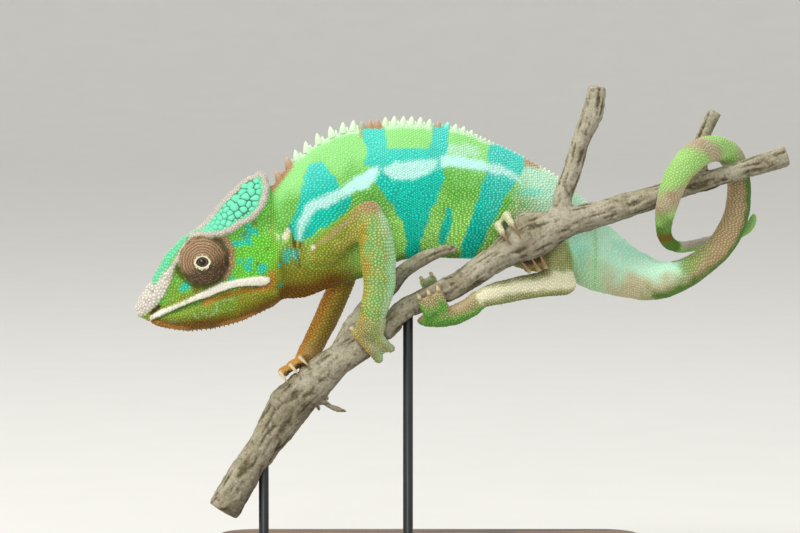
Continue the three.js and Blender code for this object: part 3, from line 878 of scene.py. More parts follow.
@dataclass(frozen=True)
class Viewpoint:
    """Where the model is looked at from: the animal's left side, a little above level."""

    aim: Triple = (-9.0, 0.0, 92.1)
    distance: float = 1300.0
    rise_degrees: float = 3.5
    sensor: float = 36.0
    width_seen: float = 240.0

    def axes(self) -> tuple[Array, Array]:
        """Directions of sight and of the picture's upward edge."""
        rise = math.radians(self.rise_degrees)
        return np.array([0, math.cos(rise), -math.sin(rise)]), np.array([0, math.sin(rise), math.cos(rise)])

    def plate(self, points: Array) -> Array:
        """Points laid on the side plate, where the markings are drawn.

        Args:
            points: places in millimetres.

        Returns:
            Side plate coordinates [x, z].
        """
        forward, upward = self.axes()
        offset = points - np.array(self.aim)
        scale = self.distance / (self.distance + offset @ forward)
        return np.stack([self.aim[0] + offset[:, 0] * scale, self.aim[2] + (offset @ upward) * scale], axis=1)

    def camera(self) -> None:
        """Makes the scene's camera."""
        forward, _ = self.axes()
        data = bpy.data.cameras.new("viewpoint")
        data.lens = self.sensor * self.distance / self.width_seen
        data.sensor_width = self.sensor
        data.clip_start = 0.05
        data.clip_end = 20
        camera = bpy.data.objects.new("viewpoint", data)
        camera.location = Vector((np.array(self.aim) - forward * self.distance) * MM)
        camera.rotation_euler = (math.radians(90 - self.rise_degrees), 0, 0)
        bpy.context.scene.collection.objects.link(camera)
        bpy.context.scene.camera = camera


# ---- the animal's shape

class Part(Enum):
    """Regions of the animal that are marked and scaled in their own way."""

    HEAD = "head"
    TRUNK = "trunk"
    TAIL = "tail"
    FRONT_LEFT = "front_left"
    FRONT_RIGHT = "front_right"
    HIND_LEFT = "hind_left"
    HIND_RIGHT = "hind_right"

    @staticmethod
    def of(node: str) -> "Part":
        """Region that a frame node belongs to.

        Args:
            node: the node's name.

        Returns:
            The region.
        """
        for part in (Part.FRONT_LEFT, Part.FRONT_RIGHT, Part.HIND_LEFT, Part.HIND_RIGHT, Part.TAIL):
            if node.startswith(part.value):
                return part
        return Part.TRUNK if node in ("trunk", "neck") else Part.HEAD


@dataclass(frozen=True)
class Anatomy:
    """Lines and places of the animal, on the side plate [x, z] unless said otherwise."""

    head_pivot: Pair = (-46.0, 4.8)
    head_yaw_degrees: float = 8.0
    eye_centre: Triple = (-69.1, 6.1, 93.9)
    eye_gaze: Triple = (-0.1, 1.0, 0.02)
    eye_spot: Pair = (-67.9, 93.9)
    socket: float = 8.0
    neck_x: float = -46.5
    lid_ring: float = 1.95
    crest_rear: Line = (
        (-51.6, 120.9), (-49.8, 118.5), (-49.2, 115.8), (-49.5, 113.1), (-50.4, 110.4), (-51.9, 108.3))
    crest_lateral: Line = (
        (-51.9, 108.3), (-54.3, 106.2), (-57, 105), (-59.7, 103.2), (-62.4, 102), (-65.4, 101.4),
        (-69, 101.7), (-71.4, 100.8))
    crest_brow: Line = ((-70.6, 101.4), (-73.8, 98.4), (-75.3, 95.8), (-76.6, 93), (-77.8, 90.8))
    casque: Line = (
        (-69.3, 102.9), (-65.4, 109.5), (-62.4, 112.8), (-59.1, 115.8), (-55.8, 117.9), (-52.5, 119.1),
        (-51.2, 116.5), (-51.2, 112.8), (-53.1, 108.9), (-56.1, 107.1), (-62.4, 103.5), (-66, 102.3))
    pad: Line = (
        (-84.6, 88.9), (-83.1, 85.7), (-81.6, 87.4), (-79.8, 90), (-77, 92.4), (-77.6, 89.2), (-78.8, 85.6),
        (-80.1, 83.1), (-81.6, 81), (-84.3, 78.7), (-86.4, 77.5), (-88, 76.2), (-91, 78), (-90, 81.5),
        (-88, 85), (-86.4, 88))
    roof: Line = (
        (-69.9, 104.5), (-72, 101.1), (-74.4, 98.7), (-76.2, 96.3), (-78, 93.6), (-79.5, 90.6),
        (-81.6, 87.3), (-83.7, 86.7), (-85, 89.7), (-83, 93.7), (-81, 97.3), (-78.6, 100.2), (-75, 103),
        (-71, 105))
    lip_top: Line = (
        (-84.6, 77.2), (-81, 79.3), (-78, 80.5), (-75, 81.7), (-72, 82.9), (-69, 84.1), (-66, 85.6),
        (-63, 87.1), (-60, 87.8), (-57, 88.5), (-54, 88.9), (-51, 89.3), (-48.3, 88.9))
    lip_low: Line = (
        (-47.7, 87.5), (-49, 86.4), (-51, 86.1), (-54, 86.1), (-57, 85.9), (-60, 85.2), (-63, 84.2),
        (-66, 82.9), (-69, 82), (-72, 80.9), (-75, 79.6), (-78, 78.2), (-81, 76.8), (-84, 75.4))
    cheek: Line = (
        (-58.5, 99.9), (-50.4, 102.3), (-46.2, 98.7), (-45.3, 93.3), (-47.4, 89.7), (-58.2, 88.2),
        (-60, 90.3))
    nostril: Line = ((-83.7, 77.9), (-81.3, 80.4))
    eye_fold: Line = ((-61.2, 100.4), (-59.4, 97), (-59.6, 92.7), (-61.6, 89.2))
    mouth_corner: Line = (
        (-47.6, 89.9), (-46.8, 88), (-47.8, 86), (-52.2, 85.2), (-57, 84.9), (-62, 83.5), (-67.5, 81))
    jaw_green: Line = (
        (-80, 76.6), (-73.5, 79.2), (-69, 80.7), (-63.6, 81.6), (-58.2, 82.8), (-57, 80.7), (-60.6, 78.3),
        (-67.5, 76.8), (-73.5, 75.6), (-79.4, 75))
    jaw_line: Line = (
        (-85, 75.2), (-78, 73.4), (-73, 72.6), (-66, 73.4), (-58, 75), (-51, 77.8), (-45, 80.8))
    nape: Line = (
        (-52, 85.6), (-47, 92), (-45, 99), (-40, 101), (-33, 96), (-30, 89), (-33, 84), (-42, 81),
        (-52, 79.5))
    spines: Line = (
        (-45.3, 2.9), (-42.3, 3), (-39.9, 3), (-36.9, 3.2), (-33.3, 3.2), (-29.4, 3.2), (-26.1, 3.1),
        (-23.1, 2.9), (-20.5, 2.5), (-18.1, 2.3), (-15.8, 2.5), (-13.4, 2.7), (-10.8, 2.7), (-8.1, 2.6),
        (-5.7, 2.6), (-3, 2.4), (-0.3, 2.2), (2.4, 2), (5.1, 1.9), (7.6, 1.8), (10, 1.6), (12.4, 1.4))
    teal_bands: tuple[Line, ...] = (
        ((-36, 123), (-32.1, 123), (-30, 120.3), (-26.1, 114.9), (-23.4, 112.5), (-24, 109.5),
         (-27.6, 106.5), (-35.4, 101.7), (-38.7, 99.3), (-40.8, 99.9), (-42, 104.1), (-40.2, 108.9),
         (-37.5, 118.5)),
        ((-20.4, 133.5), (-13.8, 133.5), (-13.2, 126.9), (0, 127.5), (1.2, 134), (5.6, 134), (4.8, 126.9),
         (3.6, 123.3), (4.5, 118.5), (1.2, 110.4), (-2.7, 99.9), (-3.6, 92), (-7.5, 92), (-7.2, 99.9),
         (-8.4, 105.3), (-11.4, 110.4), (-16.8, 117.9), (-15.6, 121.5), (-19.4, 122.7), (-18.9, 128)),
        ((5.1, 109.5), (6.9, 109.3), (6.3, 103.5), (4.2, 98.7), (2.7, 98.7), (3, 103.5)),
        ((18, 128.4), (22.5, 129), (27.6, 125.4), (28.2, 121.5), (22.2, 112.5), (19.2, 106.5), (16.2, 99.9),
         (12, 92), (8.4, 92), (9.9, 99.3), (14.4, 111.9), (17.4, 121.5)),
    )
    stripe: Line = (
        (-39.2, 100.3), (-38.6, 104.5), (-37.3, 107.7), (-35, 110.4), (-31.7, 111.5), (-28.5, 112.9),
        (-25.2, 114.9), (-20.3, 117.5), (-17.4, 119.4), (-15.5, 121.2), (-13.2, 121.1), (-10.6, 120.6),
        (-5.7, 121), (-2.5, 121.7), (0.5, 122.7), (6.2, 123.8), (11.4, 123.1), (17.2, 122.1), (22, 120.7),
        (25.5, 119), (27.4, 117.1))
    stripe_half: tuple[float, ...] = (
        0.7, 1.1, 1.5, 1.7, 1.7, 1.6, 1.6, 2.3, 1.9, 0.9, 1.3, 2.6, 2.8, 2.4, 1.5, 1.7, 1.5, 1.2, 1.3, 0.9,
        0.4)
    tail: tuple[tuple[float, float, float, float], ...] = (
        (56.5, 12.2, 91.6, 7.6), (66, 8.2, 87.7, 6.2), (73.5, 5, 88.4, 5.2), (80.4, 1.6, 92.1, 4.6),
        (86.4, 0.6, 97.2, 4.5), (90.3, 2.4, 102.9, 4.5), (92.6, 5.2, 108.9, 4.3), (93.3, 8.6, 114.9, 4.1),
        (92.9, 9, 119.6, 4.1), (90.8, 6.6, 124.9, 4.2), (86.4, 0.8, 127.5, 4.3), (81.6, -4.4, 127, 4.6),
        (77.2, -7.4, 124.3, 4.6), (73.8, -8.7, 120, 4.4), (71.8, -8.4, 115.5, 4.2), (70.5, -6.8, 110.4, 3.7),
        (69.8, -4.7, 105.8, 3.2), (70.2, -1.8, 101.5, 2.8), (72.5, 1.7, 98.5, 2.5), (76.2, 5.2, 97.6, 2.4),
        (80.8, 8.8, 98.2, 2.3), (85.8, 11.6, 99.3, 2.2), (90.6, 13.2, 100.3, 2.1), (94.8, 13.4, 101.6, 2),
        (97.4, 12.4, 104.2, 1.9), (98, 11.6, 106.6, 1.7))


ANATOMY = Anatomy()
VIEW = Viewpoint()


@dataclass
class Axis:
    """Middle line of a long part, finely divided."""

    points: Array
    stations: Array

    @staticmethod
    def through(rows: Sequence[Sequence[float]], steps: int = 12) -> "Axis":
        """Smooth line through rows [x, y, z, ...], numbered from 0.

        Args:
            rows: places that it passes through.
            steps: divisions between two rows.

        Returns:
            The line.
        """
        known = np.array(rows, float)
        place = np.linspace(0, len(known) - 1, (len(known) - 1) * steps + 1)
        first = np.minimum(place.astype(int), len(known) - 2)
        f = (place - first)[:, None]
        a, b = known[np.maximum(first - 1, 0)], known[first]
        c, d = known[first + 1], known[np.minimum(first + 2, len(known) - 1)]
        second, third = a - 2.5 * b + 2 * c - d / 2, 1.5 * (b - c) + (d - a) / 2
        smooth = b + f * (c - a) / 2 + f ** 2 * second + f ** 3 * third
        return Axis(smooth[:, :3], place)

    @staticmethod
    def of_cloud(points: Array, pitch: float) -> "Axis":
        """Line through the middle of a long cloud of points.

        Args:
            points: the cloud.
            pitch: spacing of the middles.

        Returns:
            The line.
        """
        centre = points.mean(0)
        _, _, directions = np.linalg.svd(points - centre, full_matrices=False)
        along = (points - centre) @ directions[0]
        count = max(3, int(np.ptp(along) / pitch))
        edges = np.linspace(along.min(), along.max(), count + 1)
        slices = [(along >= low) & (along <= high) for low, high in zip(edges[:-1], edges[1:])]
        return Axis.through([points[inside].mean(0) for inside in slices])

    def tangents(self) -> Array:
        """Direction at each division."""
        return unit(np.gradient(self.points, axis=0))

    def locate(self, points: Array) -> tuple[Array, Array, Array]:
        """Nearest division of each point.

        Args:
            points: places to find.

        Returns:
            Station number, turn round the line in radians, and distance.
        """
        tree = point_finder(self.points)
        nearest = np.array([tree.find(place)[1] for place in points.tolist()])
        tangent = self.tangents()[nearest]
        offset = points - self.points[nearest]
        side = unit(np.cross(tangent, LEVEL))
        other = np.cross(tangent, side)
        turn = np.arctan2(np.einsum("ij,ij->i", offset, other), np.einsum("ij,ij->i", offset, side))
        return self.stations[nearest], turn, norm(offset, axis=1)


def to_near_side(points: Array, middle: Array, in_head: Array) -> Array:
    """Carries points of the right side over to the left, so that both sides share one set of markings.

    Args:
        points: places in millimetres.
        middle: y of the trunk's middle plane at each point.
        in_head: whether each point turns with the head.

    Returns:
        Places on the left side.
    """
    yaw = math.radians(ANATOMY.head_yaw_degrees)
    along, across = points[:, 0] - ANATOMY.head_pivot[0], points[:, 1] - ANATOMY.head_pivot[1]
    ahead = math.cos(yaw) * along + math.sin(yaw) * across
    aside = -np.abs(-math.sin(yaw) * along + math.cos(yaw) * across)
    turned = points.copy()
    turned[:, 0] = ANATOMY.head_pivot[0] + math.cos(yaw) * ahead - math.sin(yaw) * aside
    turned[:, 1] = ANATOMY.head_pivot[1] + math.sin(yaw) * ahead + math.cos(yaw) * aside
    flipped = points.copy()
    flipped[:, 1] = middle - np.abs(points[:, 1] - middle)
    return np.where(in_head[:, None], turned, flipped)


def eye_frame(side: int) -> tuple[Array, Array]:
    """Centre and gaze of one eye.

    Args:
        side: -1 for the left, 1 for the right.

    Returns:
        Centre in millimetres and unit gaze.
    """
    yaw = math.radians(ANATOMY.head_yaw_degrees)
    turn = np.array([[math.cos(yaw), -math.sin(yaw), 0], [math.sin(yaw), math.cos(yaw), 0], [0, 0, 1]])
    pivot = np.array([ANATOMY.head_pivot[0], ANATOMY.head_pivot[1], 0])
    x, y, z = ANATOMY.eye_centre
    gx, gy, gz = ANATOMY.eye_gaze
    centre = turn @ np.array([x - pivot[0], side * y, z]) + pivot
    return centre, unit(turn @ np.array([gx, side * gy, gz]))


@dataclass
class Body:
    """The animal's skin: the flesh nodes grown together, drawn in by the scales' depth and shaped."""

    voxel: float = 0.4
    closing: float = 0.36
    webbing: float = 0.75
    coat_depth: float = 0.34
    smoothing_rounds: int = 44
    flesh: tuple[str, ...] = ("head", "lower_jaw", "eye_turret", "neck", "trunk", "tail_")
    limb_ends: tuple[str, ...] = ("_upper_leg", "_lower_leg", "_foot")

    def build(self, frame: Frame) -> None:
        """Shapes the skin from the frame's flesh nodes.
        """
        names = sorted(frame["nodes"])
        self.nodes = [name for name in names if name.startswith(self.flesh) or name.endswith(self.limb_ends)]
        solids = [node_mesh(frame["nodes"][n]) for n in self.nodes]
        fillers = [node_mesh(frame["nodes"][n]) for n in ("eyeball_left", "eyeball_right")]
        fillers += [ball_mesh(eye_frame(side)[0], 6.5) for side in (-1, 1)]
        self.skin = self._grown(dict(zip(self.nodes, solids)), fillers)
        self._label(solids)
        self._relax()
        self._locate()
        self._sculpt()
        self.normals = self.skin.normals(2)
        LOG.info("skin: %d points, %d faces", len(self.skin.points), len(self.skin.quads))

    def _grown(self, solids: dict[str, Mesh], fillers: list[Mesh]) -> Surface:
        """Skin of all solids, where the tail's coil and the feet only join what carries them.

        Args:
            solids: points and triangles of each flesh node.
            fillers: more solids under the skin of the head.

        Returns:
            The closed skin.
        """
        loose = ("tail_inner", "tail_end")
        main = [solid for name, solid in solids.items() if name not in loose and not name.endswith("_foot")]
        coil = [solid for name, solid in solids.items() if name in loose + ("tail_top",)]
        limbs = [name[:-5] for name in solids if name.endswith("_foot")]
        groups = [(main + fillers, self.closing), (coil, self.closing)]
        groups += [([solids[limb + "_lower_leg"], solids[limb + "_foot"]], self.webbing) for limb in limbs]
        shells = []
        for group, closing in groups:
            shell = fused(group, self.voxel, closing, closing + self.coat_depth)
            shells.append((shell.points, np.concatenate([shell.quads[:, :3], shell.quads[:, [0, 2, 3]]])))
        return fused(shells, self.voxel, 0.02, 0.02)

    def _label(self, solids: list[Mesh]) -> None:
        """Finds the node that each skin point grew from.

        Args:
            solids: points and triangles of each flesh node.
        """
        self.node, _ = nearest_faces(solids, self.skin.points)
        parts = list(Part)
        index = np.array([parts.index(Part.of(name)) for name in self.nodes])
        self.part = index[self.node]
        self.share = {part: self.skin.spread(self.of_part(part).astype(float), 8) for part in parts}

    def is_node(self, *words: str) -> Array:
        """Whether each point grew from a node whose name holds one of the words."""
        hit = np.array([any(word in name for word in words) for name in self.nodes])
        return hit[self.node]

    def of_part(self, part: Part) -> Array:
        """Whether each point belongs to a region."""
        return self.part == list(Part).index(part)

    def _relax(self) -> None:
        """Rounds the solids' facets and blends the joins, least where the forms are small."""
        strength = np.full(len(self.skin.points), 0.5)
        for words, value in (
            (("foot",), 0.1), (("lower_leg",), 0.3), (("head",), 0.16), (("lower_jaw",), 0.2),
            (("eye_turret",), 0.12), (("tail_end", "tail_inner"), 0.3), (("upper_leg",), 0.4),
        ):
            strength = np.where(self.is_node(*words), value, strength)
        nape = self.skin.spread(4 * self.share[Part.HEAD] * self.share[Part.TRUNK], 20)
        strength = np.maximum(strength, 0.55 * np.clip(2.5 * nape, 0, 1)
                              * ease(116, 108, VIEW.plate(self.skin.points)[:, 1]))
        self.skin.soften(self.skin.spread(strength, 6), self.smoothing_rounds)

    def _middle(self) -> Array:
        """y of the trunk's middle plane at each point."""
        x, y, z = self.skin.points[self.is_node("trunk", "neck", "tail_root")].T
        slot = np.digitize(x, np.arange(x.min(), x.max(), 2.0))
        slices = [slot == number for number in np.unique(slot)]
        self.back_x = np.array([x[own].mean() for own in slices])
        self.back = [np.percentile(z[own], 99.5) for own in slices]
        self.belly = [z[own].min() for own in slices]
        levels = [(y[own].min() + y[own].max()) / 2 for own in slices]
        self.middle_y = np.convolve(np.pad(levels, 2, "edge"), np.ones(5) / 5, "valid")
        return np.interp(self.skin.points[:, 0], self.back_x, self.middle_y)

    def _locate(self) -> None:
        """Works out where each point lies along and round its part."""
        points = self.skin.points
        middle = self._middle()
        self.near = to_near_side(points, middle, self.of_part(Part.HEAD))
        self.plate = VIEW.plate(self.near)
        top, low = (np.interp(points[:, 0], self.back_x, level) for level in (self.back, self.belly))
        self.depth = np.clip((top - points[:, 2]) / (top - low), 0, 1)
        self.below_back = top - points[:, 2]
        self.above_belly = points[:, 2] - low
        self.along = np.zeros(len(points))
        self.turn = np.zeros(len(points))
        self.axes = {}
        self.tail_axis = Axis.through(ANATOMY.tail)
        tail = self.of_part(Part.TAIL)
        self.along[tail], self.turn[tail], _ = self.tail_axis.locate(points[tail])
        for number, name in enumerate(self.nodes):
            if name.endswith(self.limb_ends):
                own = self.node == number
                axis = Axis.of_cloud(points[own], 3.0)
                self.axes[name] = axis
                station, turn, _ = axis.locate(points[own])
                self.along[own], self.turn[own] = station, turn
        heads = self.of_part(Part.HEAD) | self.of_part(Part.TRUNK)
        self.along[heads] = points[heads, 0]
        centre_z = (top + low) / 2
        self.turn[heads] = np.arctan2((points[:, 1] - middle)[heads], (points[:, 2] - centre_z)[heads])

    def outline(self, low: float, high: float) -> Line:
        """Upper outline of the head in the side plate between two x."""
        head = self.of_part(Part.HEAD)
        x, z = self.plate[head, 0], self.plate[head, 1]
        return tuple((at, z[np.abs(x - at) < 0.5].max()) for at in np.arange(low, high, 0.75))

    def eye_offsets(self) -> tuple[Array, Array]:
        """Distance of each point from the nearer eye's centre, and from its line of gaze."""
        best = aside = np.full(len(self.skin.points), 1e9)
        for side in (-1, 1):
            centre, gaze = eye_frame(side)
            offset = self.skin.points - centre
            reach, along = norm(offset, axis=1), offset @ gaze
            off = np.where(along > 0, np.sqrt(np.maximum(reach ** 2 - along ** 2, 0)), 1e9)
            nearer = reach < best
            best, aside = np.where(nearer, reach, best), np.where(nearer, off, aside)
        return best, aside

    def _sculpt(self) -> None:
        """Raises crests, lips and folds, and sinks the mouth line, nostrils and creases."""
        rough, head, body = Mottle(5), self.share[Part.HEAD], self.share[Part.TRUNK]
        raise_by = np.zeros(len(self.skin.points))
        for line, height, width, share in (
            (self.outline(-69.5, -52), 0.2, 0.8, head), (ANATOMY.crest_rear, 0.75, 0.9, head),
            (ANATOMY.crest_lateral, 0.8, 0.9, head), (ANATOMY.crest_brow, 0.6, 0.6, head),
            (ANATOMY.eye_fold, 0.45, 0.8, head), (ANATOMY.lip_low, -0.55, 0.42, head),
            (((-83.3, 78.2), (-81.6, 80)), -0.9, 0.7, head),
            (((-42, 104), (-40.5, 98), (-39, 92)), -0.5, 0.7, body),
        ):
            raise_by += height * bell(line_distance(self.plate, line)[0], width) * share
        casque, pad, lip = (area_distance(self.plate, outline) for outline in (
            ANATOMY.casque, ANATOMY.pad, ANATOMY.lip_top + ANATOMY.lip_low))
        raise_by -= 0.3 * ease(0.3, -1.5, casque) * head
        raise_by += (0.18 + 0.42 * rough.at(self.near, 1.7, 2)) * ease(0.6, -0.8, pad) * head
        raise_by += 0.42 * ease(0.4, -0.5, lip) * head
        reach, aside = self.eye_offsets()
        raise_by -= 0.55 * bell(reach - 7.9, 0.7) * head
        raise_by += 0.3 * bell(aside - ANATOMY.lid_ring, 0.35) * (reach < ANATOMY.socket)
        raise_by += 0.13 * np.cos(aside * 2 * math.pi / 0.92) * ease(8, 7.4, reach) * ease(2.6, 3.4, aside)
        raise_by += body * 0.22 * rough.at(self.near, 9.0, 2)
        raise_by += 0.12 * rough.at(self.skin.points, 3.5, 2) * (1 - body) * (1 - head)
        raise_by += 0.16 * self.is_node("_foot")
        self.skin.push(raise_by)
        self.skin.soften(np.full(len(self.skin.points), 0.25), 3)
        for side in (-1, 1):
            centre, gaze = eye_frame(side)
            along = (self.skin.points - centre) @ gaze
            aside = norm(self.skin.points - centre - along[:, None] * gaze, axis=1)
            sink = ease(2.0, 1.65, aside) * np.maximum(along - 4.7, 0) * (along < 8)
            self.skin.points -= gaze * sink[:, None]


@dataclass
class Markings:
    """Colour marks of the animal, painted once on the skin and shared by the scales that grow from it."""

    body: Body
    soft: float = 0.45

    def paint(self) -> Marks:
        """Marks of every skin point, each from 0 to 1."""
        self.marks: Marks = {}
        body = self.body
        self.x, self.z = body.plate.T
        self.ripple = Mottle(11).at(body.near, 2.2, 2)
        self.cloud = Mottle(12).at(body.near, 7.0, 3)
        self.speck = Mottle(13).at(body.skin.points, 1.1)
        self.normal = body.skin.normals(6)
        self.ahead, _, self.up = self.normal.T
        # Share of each point that faces downwards; on the pelvis and the tail root it also dims the mint as
        # painted shade.
        self.below = ease(0.35, -0.45, self.up + 0.35 * self.cloud)
        self._trunk()
        self._spots()
        self._tail()
        self._limbs()
        self._head()
        self._face()
        self._turrets()
        self._folds()
        for mark, share in (("lip", 0.65), ("ice", 0.8), ("cream", 0.5), ("mint", 0.68), ("pale_green", 0.6),
                            ("ridge", 0.3), ("plate", 0.5), ("lime", 0.3)):
            self._lay("even", share * self.marks[mark])
        self._lift(("even",), 0.55 * self.marks["teal"])
        return self.marks

    def _lay(self, mark: str, amount: Array) -> None:
        """Adds to a mark, keeping the stronger of the two."""
        amount = np.clip(amount, 0, 1)
        self.marks[mark] = np.maximum(self.marks[mark], amount) if mark in self.marks else amount

    def _lift(self, marks: Sequence[str], amount: Array) -> None:
        """Takes marks off where another colour covers them."""
        for mark in marks:
            if mark in self.marks:
                self.marks[mark] = self.marks[mark] * (1 - np.clip(amount, 0, 1))

    def _area(self, outline: Line, grow: float = 0.0, wander: float = 0.5) -> Array:
        """Share of an outline's area, with an edge that wanders a little."""
        distance = area_distance(self.body.plate, outline) + wander * self.ripple - grow
        return ease(self.soft, -self.soft, distance)

    def _stroke(self, line: Line, half: float, soft: float = 0.4, wander: float = 0.25) -> Array:
        """Share of a line of some width."""
        distance, _ = line_distance(self.body.plate, line)
        return ease(soft, -soft, distance - half + wander * self.ripple)

    def _from(self, place: Pair, size: Pair = (1, 1)) -> Array:
        """Distance from a place on the side plate, in shares of a size across and up."""
        return norm((self.body.plate - np.array(place)) / np.array(size), axis=1)

    def _trunk(self) -> None:
        """Flank greens, teal bars, white stripe, crest patches and the dark chest."""
        lay = self._lay
        body, x, ripple, cloud = self.body, self.x, self.ripple, self.cloud
        trunk = body.share[Part.TRUNK]
        self.onward = ease(-52, -42.5, x + 2.2 * cloud)
        joined = np.clip(1.6 * body.skin.spread(trunk, 80), 0, 1) * (1 - body.share[Part.FRONT_LEFT])
        broad = np.clip(joined + body.share[Part.HEAD], 0, 1) * self.onward
        fore = ease(-16, -30, x)
        hind = ease(24, 34, x + 0.35 * (self.z - 110))
        lay("pale_green", broad * ease(0.44, 0.12, body.depth + 0.12 * cloud))
        lay("low_green", broad * ease(0.38, 0.85, body.depth + 0.14 * cloud))
        lay("olive", joined * fore * ease(17, 8, body.above_belly + 2.0 * cloud))
        lay("umber", joined * fore * ease(7.2, 2.8, body.above_belly + 1.2 * cloud))
        lay("leaf", 0.7 * trunk * ease(3.5, 0.8, body.above_belly) * (1 - hind))
        bars = np.max([self._area(band) for band in ANATOMY.teal_bands], axis=0) * np.clip(trunk * 1.6, 0, 1)
        lay("teal", bars)
        light = ease(0.42, 0.1, body.depth) + 0.55 * ease(0.5, 1.2, self.speck + 0.4 * cloud)
        lay("aqua", bars * np.clip(0.85 * light + ease(14, 20, x) * 0.5, 0, 0.9))
        distance, along = line_distance(body.plate, ANATOMY.stripe)
        half = np.interp(along, np.linspace(0, 1, len(ANATOMY.stripe_half)), ANATOMY.stripe_half)
        stripe = ease(0.85, -0.75, distance - half + 0.5 * ripple) * np.clip(trunk * 1.6, 0, 1)
        for gap in (-14.6, 2.4):
            stripe = stripe * (1 - 0.7 * ease(1.0, 0.3, np.abs(x - gap - 0.4 * ripple)))
        lay("ice", stripe)
        pelvis = hind * trunk
        # Less mint and some sage on the pelvis's underside: painted shade.
        lay("mint", pelvis * (1 - 0.2 * self.below))
        self._lift(("low_green", "pale_green", "leaf"), pelvis)
        lay("sage", 0.25 * pelvis * self.below)
        crest = ease(3.2, 1.4, body.below_back + 0.7 * ripple) * trunk
        for low, high in ((-48, -41), (-21, -13.8), (0.9, 5.4), (20, 25)):
            patch = crest * ease(low - 0.8, low + 0.8, x) * ease(high + 0.8, high - 0.8, x)
            lay("rust", 0.95 * patch)
            lay("orange", 0.45 * patch * ease(-0.2, 0.5, ripple))
        ridge = ease(1.7, 0.6, body.below_back + 0.4 * ripple) * trunk * (1 - self.marks["rust"])
        lay("mint", 0.7 * ridge)
        lay("cream", 0.3 * ridge)

    def _spots(self) -> None:
        """White, brown and blue spots of the shoulder, and the patches of the flank and hip."""
        lay = self._lay
        body, ripple = self.body, self.ripple
        trunk = body.share[Part.TRUNK]
        wide = np.clip(trunk + body.share[Part.FRONT_LEFT] + body.share[Part.FRONT_RIGHT], 0, 1)
        for x, z, size in ((-46.5, 101.0, 1.2), (-43.2, 101.2, 1.4), (-42.4, 102.6, 1.1), (-35, 98, 0.9)):
            white = wide * ease(size + 0.3, size - 0.4, self._from((x, z)) + 0.4 * ripple)
            self._lift(("olive", "rust", "umber"), white)
            lay("cream", white)
        for place, size in (((-40.7, 99.6), 1.1), ((-38.8, 98.6), 0.8)):
            lay("umber", 0.9 * wide * ease(size + 0.4, size - 0.4, self._from(place, (0.6, 1.3))))
        for place, size, mark, amount in (
            ((30.3, 123.4), (3.4, 2.0), "rust", 0.8), ((31.5, 114.3), (3.6, 1.5), "aqua", 0.6),
            ((44.5, 96.5), (3.0, 4.0), "aqua", 0.35), ((27.2, 104.6), (4.6, 5.5), "cream", 0.7),
            ((-40.4, 95.7), (0.9, 1.7), "aqua", 0.8),
        ):
            reach = self._from(place, size) + 0.45 * ripple + 0.25 * self.speck
            lay(mark, amount * wide * ease(1.5, 0.3, reach))
        lay("mint", 0.7 * trunk * ease(1.2, 0.5, self._from((9.6, 127.0), (5.5, 2.4)) + 0.4 * ripple))
        lay("teal", 0.7 * wide * ease(1.2, 0.6, self._from((-42.9, 95.4), (1.4, 3.2)) + 0.4 * ripple))
        flecks = ease(0.75, 0.95, self.speck) * trunk * ease(0.2, 0.5, body.depth)
        lay("aqua", 0.5 * flecks * ease(-32, -40, self.x) * ease(0.75, 0.6, body.depth))

    def _band(self, along: Array, low: float, high: float, soft: float = 0.3) -> Array:
        """Share of a ring between two stations."""
        wave = along + 0.16 * self.ripple
        return ease(low - soft, low + soft, wave) * ease(high + soft, high - soft, wave)

    def _tail(self) -> None:
        """Mint root, tan ringed middle with a leafy underside, lime coil with brown rings."""
        lay = self._lay
        body, ripple, cloud, below = self.body, self.ripple, self.cloud, self.below
        tail = body.share[Part.TAIL]
        station = np.where(body.of_part(Part.TAIL), body.along, 0)
        axis = body.tail_axis
        middle = np.stack([np.interp(station, axis.stations, axis.points[:, k]) for k in range(3)], axis=1)
        outward = unit((middle - np.array([82.0, 0, 113.0])) * np.array([1, 0, 1]))
        outer = np.einsum("ij,ij->i", self.normal, outward)
        root = tail * self._band(station, -5, 2.3, 0.8)
        first = tail * self._band(station, -5, 8.7)
        # Mint dimmed and sage added on the tail root's underside: painted shade.
        lay("mint", first * ease(3.3, 2.3, station + 0.4 * cloud) * (1 - 0.25 * below))
        lay("aqua", 0.2 * root * ease(0.1, 0.9, cloud) * (1 - below) * ease(50, 58, self.x))
        lay("sage", 0.3 * first * below)
        sand = first * below * ease(50, 56, self.x + 2 * cloud)
        for mark, amount in (("gold", 0.5), ("cream", 0.4), ("tan", 0.55)):
            lay(mark, amount * sand)
        lay("tan", 0.95 * first * ease(2.2, 4.2, station + 0.4 * cloud + 0.6 * below))
        lay("jade", 0.7 * tail * self._band(station, 2.3, 8.7) * ease(0.45, 0.8, -outer))
        lay("leaf", tail * ease(0.2, 0.75, outer + 0.15 * ripple) * self._band(station, 1.2, 8.7))
        coil = ease(8.5, 9.0, station)
        lay("lime", tail * coil)
        for low, high, strength in ((10.5, 11.4, 0.85), (13.9, 15.1, 0.8), (8.4, 9.1, 0.4)):
            ring = tail * self._band(station - 0.5 * outer, low, high, 0.35)
            lay("tan", strength * ring)
            lay("lilac", 0.45 * ring)
            lay("rust", 0.4 * ring * ease(0.0, 0.9, ripple))
        lay("tan", 0.6 * tail * coil * ease(0.5, 0.9, -outer) * self._band(station, 9, 15))
        lay("leaf", tail * self._band(station, 15.1, 18.4) * ease(14.6, 16.8, station + 0.5 * ripple))
        lay("umber", 0.8 * tail * self._band(station, 16.7, 17.3, 0.15))
        lay("lilac", tail * self._band(station, 18.5, 22.3) * ease(-0.5, 0.2, self.up))
        lay("jade", 0.8 * tail * self._band(station, 22.4, 30))

